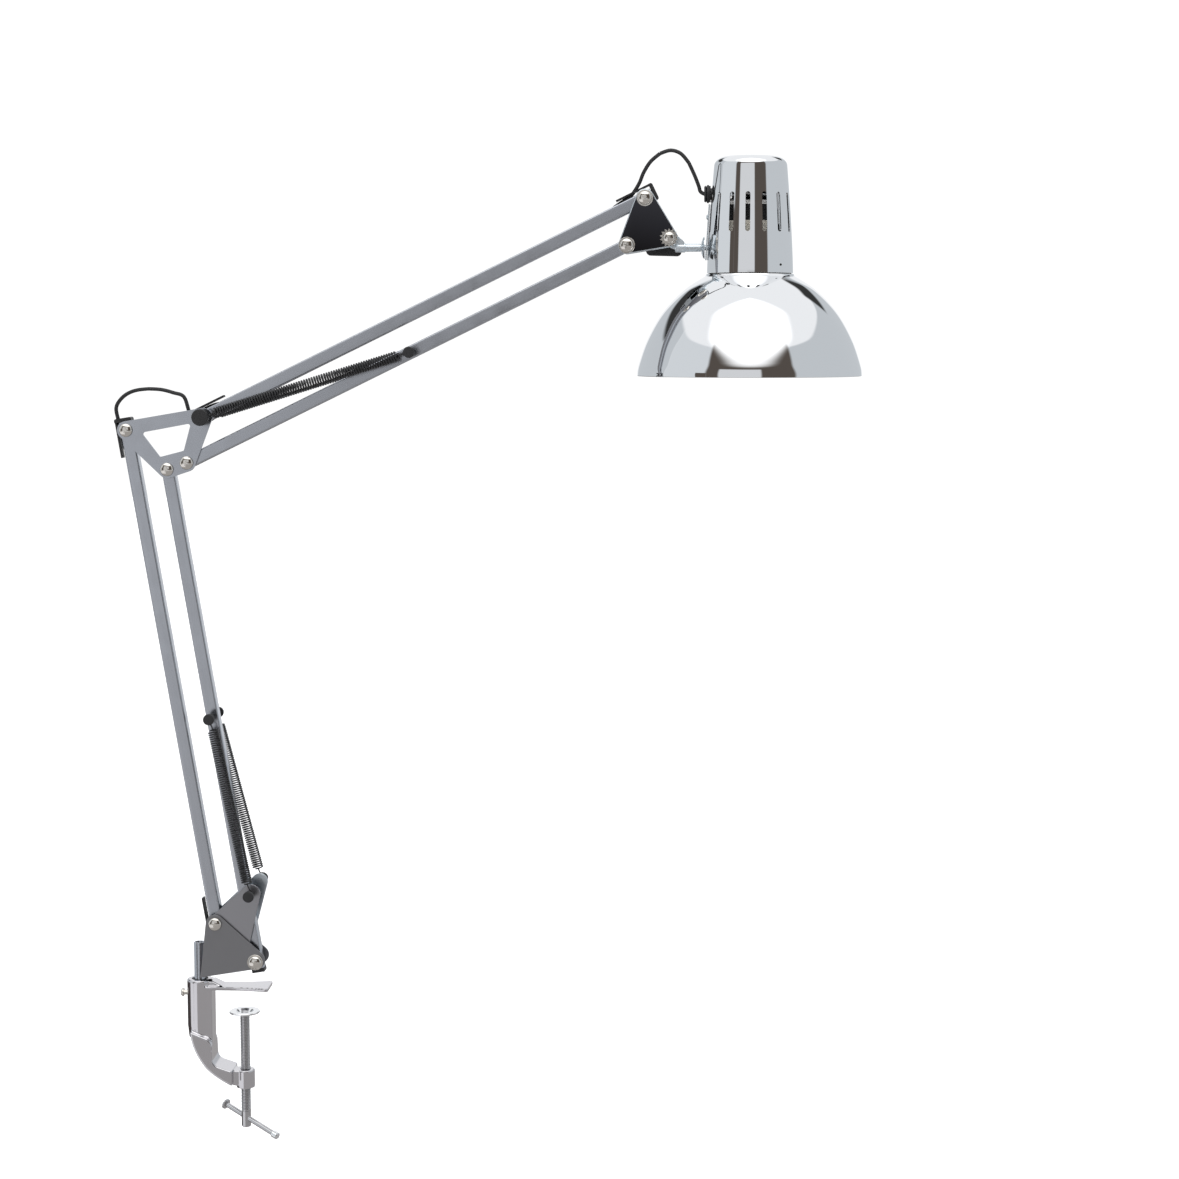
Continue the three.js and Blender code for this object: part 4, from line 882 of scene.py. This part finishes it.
TEETH, TOOTH_TIP, TOOTH_ROOT = 14, 7.4, 5.4
star = []
for i in range(2 * TEETH):
    radius, angle = TOOTH_TIP if i % 2 else TOOTH_ROOT, math.pi * i / TEETH
    star.append((TILT_X + radius * math.cos(angle), TILT_Z + radius * math.sin(angle)))
bm = plate_bm(star, -9, -8.1, 0.15)
piece("star_washer_toothed", bm, "nickel", "head_mount", ["star_washer"], 30, True)
print("tilt joint dressed")

# %% [markdown]
# ## The clamp
#
# The clamp is a casting, so nothing on it is quite sharp. Its masses are laid into each other as
# plain solids, melted together on a fine grid and relaxed, which rounds every meeting the way metal
# shrinks in a mould.


# %% Cast the clamp body
POST_X = -35.8


def bezier(start, first, second, end, parts=10):
    found = []
    for i in range(parts + 1):
        t = i / parts
        s = 1 - t
        found.append(tuple(
            s ** 3 * a + 3 * s * s * t * b + 3 * s * t * t * c + t ** 3 * d
            for a, b, c, d in zip(start, first, second, end)
        ))
    return found


def quadratic(start, middle, end, parts=8):
    first = tuple(a + (m - a) * 2 / 3 for a, m in zip(start, middle))
    second = tuple(b + (m - b) * 2 / 3 for b, m in zip(end, middle))
    return bezier(start, first, second, end, parts)


def level_plate(outline, z0, z1, bm):
    """A plate with its outline in the XY plane."""
    start = set(bm.verts)
    plate_bm(outline, z0, z1, 0, bm)
    swap = Matrix(((1, 0, 0, 0), (0, 0, 1, 0), (0, 1, 0, 0), (0, 0, 0, 1)))
    bmesh.ops.transform(bm, matrix=swap, verts=[v for v in bm.verts if v not in start])


half_jaw = (
    quadratic((POST_X, -9.3), (-25, -8.8), (-14, -8.8))
    + quadratic((-14, -8.8), (4, -8.8), (18.5, -12.6))[1:]
    + quadratic((18.5, -12.6), (21, -12.6), (21, -10.1), 5)[1:]
)
jaw = half_jaw + [(x, -y) for x, y in reversed(half_jaw)]
arm = (
    bezier((-42.2, -33.6), (-41.4, -44), (-37.5, -53), (-30.5, -62.2))
    + bezier((-30.5, -62.2), (-26, -67.6), (-18, -73), (-9, -77.6))[1:]
    + quadratic((-9, -65.6), (-14, -64), (-19.5, -62.2), 3)
    + quadratic((-19.5, -62.2), (-24.3, -60.6), (-24.6, -55.5))[1:]
    + [(-24.8, -46.5)] + quadratic((-24.8, -46.5), (-24.9, -41), (-29, -38.8))[1:]
)
arm_loop = [point for i, point in enumerate(arm) if point != arm[i - 1]]
socket = [(0, -40), (9.3, -40), (10.3, -30), (10.3, 7.1), (9.7, 7.7), (0, 7.7)]
spine = [(POST_X, 2.8), (POST_X, -46), (-25, -60), (-25, 2.8)]
gusset = [(POST_X, 1.8), (-14, 1.8), (-24, 6.7), (POST_X, 7.3)]
toe = [(-24, -64), (-12, -66.6), (0, -66.6), (0, -79.6), (-9, -79), (-20, -72)]
eye = [(0, -81.6), (7.4, -81.6), (7.4, -66.6), (0, -66.6)]
jaw_bm = bmesh.new()
level_plate(jaw, 0, 2.8, jaw_bm)
solids = [
    turned_bm(socket, 64, "Z", (POST_X, 0, 0)),
    plate_bm(spine, -8.5, 8.5, 0),
    plate_bm(gusset, -7, 7, 0),
    jaw_bm,
    plate_bm(arm_loop, -13, 13, 0),
    plate_bm(toe, -6.4, 6.4, 0),
    turned_bm(eye, 48),
]
holes = [
    turned_bm([(0, -28), (6.6, -28), (6.6, 10), (0, 10)], 48, "Z", (POST_X, 0, 0)),
    turned_bm([(0, -90), (4.3, -90), (4.3, -60), (0, -60)], 40),
]


def reshape(casting, mesh):
    casting.modifiers.clear()
    casting.data = mesh


casting = blank(solids[0])
for block in solids[1:]:
    reshape(casting, boolean(casting, blank(block), "UNION"))
melt = casting.modifiers.new("melt", "REMESH")
melt.mode = "VOXEL"
melt.voxel_size = 0.55 * MM
relax = casting.modifiers.new("relax", "SMOOTH")
relax.factor = 0.5
relax.iterations = 5
reshape(casting, evaluated_mesh(casting))
for block in holes:
    reshape(casting, boolean(casting, blank(block), "DIFFERENCE"))
mesh = casting.data
bpy.data.objects.remove(casting)
mesh.name = "clamp_body_cast"
finish_piece("clamp_body_cast", mesh, "cast_chrome", "clamp", ["clamp_body"], 50)
print("clamp body has", len(mesh.polygons), "faces")

# %% [markdown]
# The screw's thread is a real helix: one tooth of it is spun round the axis and lifted a pitch at
# every turn.


# %% Cut the clamp screw's thread
PITCH, THREAD_TURNS, STEPS_A_PITCH, THREAD_FOOT = 1.25, 63, 24, -101.4
shaft = [
    (0, -114.5), (3.0, -114.5), (3.8, -113.7), (3.8, -101.5), (3.35, -101.2), (3.35, -22), (3.35, -21.9),
    (2, -21.9), (2, -20.1), (3, -20.1), (2.9, -19.5), (2, -19.1), (0, -19.0),
]
bm = turned_bm(shaft, 40)
tooth = [(3.2, THREAD_FOOT), (3.98, THREAD_FOOT + PITCH * 0.45), (3.2, THREAD_FOOT + PITCH * 0.9)]
verts = [bm.verts.new((r * MM, 0, z * MM)) for r, z in tooth]
edges = [bm.edges.new(pair) for pair in zip(verts, verts[1:])]
bmesh.ops.spin(
    bm, geom=verts + edges, cent=(0, 0, 0), axis=(0, 0, 1), angle=2 * math.pi * THREAD_TURNS,
    steps=STEPS_A_PITCH * THREAD_TURNS, dvec=(0, 0, PITCH * MM / STEPS_A_PITCH),
)
piece("clamp_screw_threaded", bm, "screw_steel", "clamp_spindle", ["clamp_screw"], 25)
print("thread has", THREAD_TURNS, "turns")

# %% Turn the pad, the bar and its collar
pad_profile = [
    (2.3, -20.2), (2.3, -21.6), (5.5, -21.6), (7.5, -20.0), (12, -20.0), (12.2, -19.8), (12.2, -18.9),
    (11.9, -18.6), (7.1, -18.6), (5.1, -20.2), (2.3, -20.2),
]
turned("pressure_pad_dished", pad_profile, "chrome", "clamp_pad", ["pressure_pad"], 64)

BAR_HEIGHT, BAR_HEADING, BAR_DROP = -106.6, -31.3, 17
bar_place = (
    Matrix.Translation((0, 0, BAR_HEIGHT * MM)) @ Matrix.Rotation(math.radians(BAR_HEADING), 4, "Z")
    @ Matrix.Rotation(math.radians(BAR_DROP), 4, "Y")
)
bar_profile = [
    (0, -23.9), (3.6, -23.9), (4.25, -23.3), (4.25, -22.3), (3.6, -21.7), (2.05, -21.7), (2.05, 29),
    (1.35, 29), (1.35, 33.3), (0, 33.3),
]
collar_profile = [
    (1.65, 29.3), (2.5, 29.3), (2.9, 29.7), (2.9, 34.2), (2.3, 34.8), (0, 34.8), (0, 33.6),
    (1.65, 33.6), (1.65, 29.3),
]
for name, profile, look_name, node in [
    ("tommy_bar_turned", bar_profile, "screw_steel", "tommy_bar"),
    ("tommy_collar_turned", collar_profile, "chrome", "tommy_bar_collar"),
]:
    bm = turned_bm(profile, 32, "X")
    bmesh.ops.transform(bm, matrix=bar_place, verts=bm.verts)
    piece(name, bm, look_name, "tommy", [node], 35)
print("pad, bar and collar turned")

# %% Turn the set screw, the post and its bush
SET_SCREW_Z = -4
x = POST_X - 13.3
set_profile = [
    (0, x - 2.4), (1.6, x - 2.3), (2.6, x - 1.9), (3.3, x - 1.1), (3.5, x - 0.2), (3.4, x), (2, x),
    (2, POST_X - 6.6), (0, POST_X - 6.6),
]
target = turned_bm(set_profile, 32, "X", (0, 0, SET_SCREW_Z))
set_mesh = carved(target, box_bm((x - 2.4, 0, SET_SCREW_Z), (1.4, 5.4, 0.8)))
finish_piece("clamp_set_screw_slotted", set_mesh, "nickel", "clamp", ["clamp_set_screw"], 40)

post_profile = [
    (3.2, -27.7), (4.5, -27.7), (4.5, 37.2), (4.3, 37.6), (3.4, 37.6), (3.2, 37.2), (3.2, -27.7),
]
turned("base_post_rolled", post_profile, "satin", "base", ["base_post"], 40, "Z", (POST_X, 0, 0))
bush_profile = [
    (4.8, -27.7), (6.3, -27.7), (6.3, 7.4), (6.0, 7.7), (5.1, 7.7), (4.8, 7.4), (4.8, -27.7),
]
turned("socket_bush_moulded", bush_profile, "black", "clamp", ["socket_bush"], 40, "Z", (POST_X, 0, 0))
print("clamp assembled")

# %% [markdown]
# ## The lampholder
#
# The lampholder is a stepped ring of glazed ceramic that shows through the slots of the cap. Its
# upper end, under the cap's closed top, is painted black as shade, apart from one pale ring, so those faces
# get materials of their own.

# %% Turn the lampholder
PAINTED_SHADE_FROM, RING_FROM, RING_TO = 608.5, 622, 625.4
holder_profile = [
    (0, 600), (13.7, 600), (13.7, 548), (20.2, 548), (20.7, 548.5), (20.7, 569.7), (31.9, 569.7),
    (31.9, 571.2), (19, 571.2), (19, 607), (18, 607), (18, 610), (18.2, 610), (18.2, 622), (19, 622),
    (19, 625.2), (17, 625.2), (14, 628), (0, 628),
]
ring_profile = [(21, 563), (25.6, 563), (26, 563.4), (26, 567.6), (25.6, 568), (21, 568), (21, 563)]
at = (HEAD_X, 0, 0)
holder = turned("lampholder_turned", holder_profile, "ceramic", "shade_head", ["lampholder"], 48, "Z", at)
# painted shade: the faces above this height, under the cap's closed top, are black
second_look(holder, "black", lambda place, normal: place.z > PAINTED_SHADE_FROM)
second_look(holder, "pale_ring", lambda place, normal: (
    RING_FROM < place.z < RING_TO and math.hypot(normal.x, normal.y) > 0.5
))
turned("lampholder_ring_turned", ring_profile, "ceramic", "shade_head", ["lampholder_ring"], 48, "Z", at)
print("lampholder turned")

# %% [markdown]
# ## Tubes, guides and plugs
#
# These pieces already have the right shape, down to the slots that the cord runs through. Their
# meshes are loose triangles, though, which would show every facet of the rounded corners. So each is
# copied, its corners are welded, and only the true edges stay sharp.


# %% Weld and finish the tubes, guides and plugs
def welded(node, look_name, body, sharp=30):
    bm = bmesh.new()
    bm.from_mesh(nodes[node].data)
    bmesh.ops.remove_doubles(bm, verts=bm.verts, dist=1e-6)
    bmesh.ops.dissolve_limit(bm, angle_limit=math.radians(0.5), verts=bm.verts, edges=bm.edges)
    piece(node + "_welded", bm, look_name, body, [node], sharp, True)


for node, look_name, body in [
    ("lower_left_tube", "satin", "lower_main"),
    ("lower_right_tube", "satin", "lower_follower"),
    ("upper_top_tube", "satin", "upper_main"),
    ("upper_bottom_tube", "satin", "upper_follower"),
    ("lower_left_guide_bottom", "black", "lower_main"),
    ("lower_left_guide_top", "black", "lower_main"),
    ("lower_right_plug_bottom", "black", "lower_follower"),
    ("lower_right_plug_top", "black", "lower_follower"),
    ("upper_top_guide_elbow", "black", "upper_main"),
    ("upper_top_guide_head", "black", "upper_main"),
    ("upper_bottom_plug_elbow", "black", "upper_follower"),
    ("swivel_nut", "nickel", "tilt"),
]:
    welded(node, look_name, body)
print("tubes, guides and plugs welded")

# %% [markdown]
# ## The studio
#
# Chrome has no colour of its own: it shows the room. So the room is what gets painted here. It is a
# set of soft rectangles on the sky, each with an azimuth from the front, an elevation and a
# brightness: a big soft box above the camera, pale panels at the sides and dark gaps between them.
# The camera itself sees plain white.


# %% Paint the room
world = bpy.data.worlds.new("studio")
scene.world = world
world.use_nodes = True
tree = world.node_tree
tree.nodes.clear()


def math_node(operation, *values):
    node = tree.nodes.new("ShaderNodeMath")
    node.operation = operation
    for socket, value in zip(node.inputs, values):
        if isinstance(value, (int, float)):
            socket.default_value = value
        else:
            tree.links.new(value, socket)
    return node.outputs[0]


def soft_step(value, low, high):
    node = tree.nodes.new("ShaderNodeMapRange")
    node.interpolation_type = "SMOOTHSTEP"
    tree.links.new(value, node.inputs["Value"])
    node.inputs["From Min"].default_value = low
    node.inputs["From Max"].default_value = high
    return node.outputs["Result"]


def between(value, low, high, blur):
    """1 between two angles and 0 outside them, with a soft edge."""
    risen = soft_step(value, low - blur, low + blur)
    fallen = soft_step(value, high - blur, high + blur)
    return math_node("MULTIPLY", risen, math_node("SUBTRACT", 1.0, fallen))


def color_socket(sockets, name):
    """A mix node has a socket of each name for every type; this is the one for colours."""
    return [s for s in sockets if s.name == name and s.type == "RGBA"][0]


direction = tree.nodes.new("ShaderNodeTexCoord").outputs["Generated"]
split = tree.nodes.new("ShaderNodeSeparateXYZ")
tree.links.new(direction, split.inputs[0])
azimuth = math_node("ARCTAN2", split.outputs["X"], math_node("MULTIPLY", split.outputs["Y"], -1.0))
elevation = math_node("ARCSINE", split.outputs["Z"])


def patch(color_so_far, az, el, color, soft, bowl):
    """Lays a soft rectangle of one colour over what is painted so far; angles in degrees.

    A bowl above 0 bends the rectangle upwards at its sides.
    """
    blur = math.radians(soft) / 2
    az0, az1, el0, el1 = [math.radians(v) for v in (*az, *el)]
    wide = between(azimuth, az0, az1, blur)
    lift = math_node("MULTIPLY", math_node("MULTIPLY", azimuth, azimuth), bowl)
    tall = between(math_node("SUBTRACT", elevation, lift), el0, el1, blur)
    mix = tree.nodes.new("ShaderNodeMix")
    mix.data_type = "RGBA"
    tree.links.new(math_node("MULTIPLY", wide, tall), mix.inputs["Factor"])
    if isinstance(color_so_far, tuple):
        color_socket(mix.inputs, "A").default_value = (*color_so_far, 1)
    else:
        tree.links.new(color_so_far, color_socket(mix.inputs, "A"))
    color_socket(mix.inputs, "B").default_value = (*color, 1)
    return color_socket(mix.outputs, "Result")


painted = (0.95, 0.96, 0.98)
WALL, SCREEN, DARK, FLAG = (0.58, 0.61, 0.64), (0.70, 0.71, 0.73), (0.095, 0.08, 0.07), (0.04, 0.04, 0.04)
ROOM = [  # azimuths, elevations, colour, softness of the edge, bowl
    ((-190, 190), (-95, -9), (0.42, 0.41, 0.41), 8, 0),  # the floor of the room
    ((-84, -18), (-36, -11), (0.92, 0.92, 0.95), 4, 0),  # a low white board in front
    ((-178, -88), (-40, -4), (0.07, 0.06, 0.06), 6, 0),  # a dark corner at the lower left
    ((-163, -98), (-12, 38), WALL, 3, 0),  # left panel, far half
    ((-98, -46), (-12, 38), (0.70, 0.73, 0.76), 2, 0),  # left panel, near half
    ((46, 163), (-12, 38), WALL, 2, 0),  # right panel
    ((-47, 47), (-7, 60), DARK, 4, 0),  # dark space behind the camera
    ((-58, -46), (-14, 10.5), DARK, 1, 0),  # and its lower left corner
    ((-80, 80), (32, 130), (1.25, 1.25, 1.27), 10, 0.26),  # the glow round the soft box
    ((-62, 62), (33, 110), (1.9, 1.9, 1.9), 16, 0.26),  # the big soft box
    ((-33, 11), (2.5, 23), SCREEN, 3, 0),  # a pale screen beside the camera
    ((-33, -8), (-11, 4), SCREEN, 5, 0),  # and its longer left half
    ((-160, -122), (24, 36), FLAG, 4, 0),  # dark flags behind
    ((138, 160), (28, 42), FLAG, 4, 0),
]
for az, el, color, soft, bowl in ROOM:
    painted = patch(painted, az, el, color, soft, bowl)
background = tree.nodes.new("ShaderNodeBackground")
tree.links.new(painted, background.inputs["Color"])
background.inputs["Strength"].default_value = 1.0
plain = tree.nodes.new("ShaderNodeBackground")
plain.inputs["Color"].default_value = (1, 1, 1, 1)
plain.inputs["Strength"].default_value = 1.05
seen = tree.nodes.new("ShaderNodeLightPath")
choice = tree.nodes.new("ShaderNodeMixShader")
tree.links.new(seen.outputs["Is Camera Ray"], choice.inputs["Fac"])
tree.links.new(background.outputs[0], choice.inputs[1])
tree.links.new(plain.outputs[0], choice.inputs[2])
out = tree.nodes.new("ShaderNodeOutputWorld")
tree.links.new(choice.outputs[0], out.inputs["Surface"])
print(len(ROOM), "soft rectangles on the sky")

# %% Add the key light and the floor
light_data = bpy.data.lights.new("key", "AREA")
light_data.energy = 18
light_data.shape = "RECTANGLE"
light_data.size, light_data.size_y = 1.2, 0.9
light = bpy.data.objects.new("key", light_data)
light.location = (0.1, -1.6, 1.7)
lit_point = Vector((0.15, 0, 0.35))
light.rotation_euler = (lit_point - light.location).to_track_quat("-Z", "Y").to_euler()
light.visible_glossy = False
scene.collection.objects.link(light)

floor_bm = bmesh.new()
bmesh.ops.create_grid(floor_bm, x_segments=1, y_segments=1, size=12)
bmesh.ops.translate(floor_bm, verts=floor_bm.verts, vec=(0, 0, -0.42))
floor_mesh = bpy.data.meshes.new("floor")
floor_bm.to_mesh(floor_mesh)
floor_bm.free()
floor = bpy.data.objects.new("floor", floor_mesh)
scene.collection.objects.link(floor)
pale = bpy.data.materials.new("pale_floor")
pale.use_nodes = True
pale_shader = pale.node_tree.nodes["Principled BSDF"]
pale_shader.inputs["Base Color"].default_value = (0.95, 0.95, 0.95, 1)
pale_shader.inputs["Roughness"].default_value = 0.9
pale_shader.inputs["Emission Color"].default_value = (1, 1, 1, 1)
pale_shader.inputs["Emission Strength"].default_value = 0.35
floor_mesh.materials.append(pale)
floor.visible_glossy = False
scene.view_settings.view_transform = "Standard"
print("studio ready")
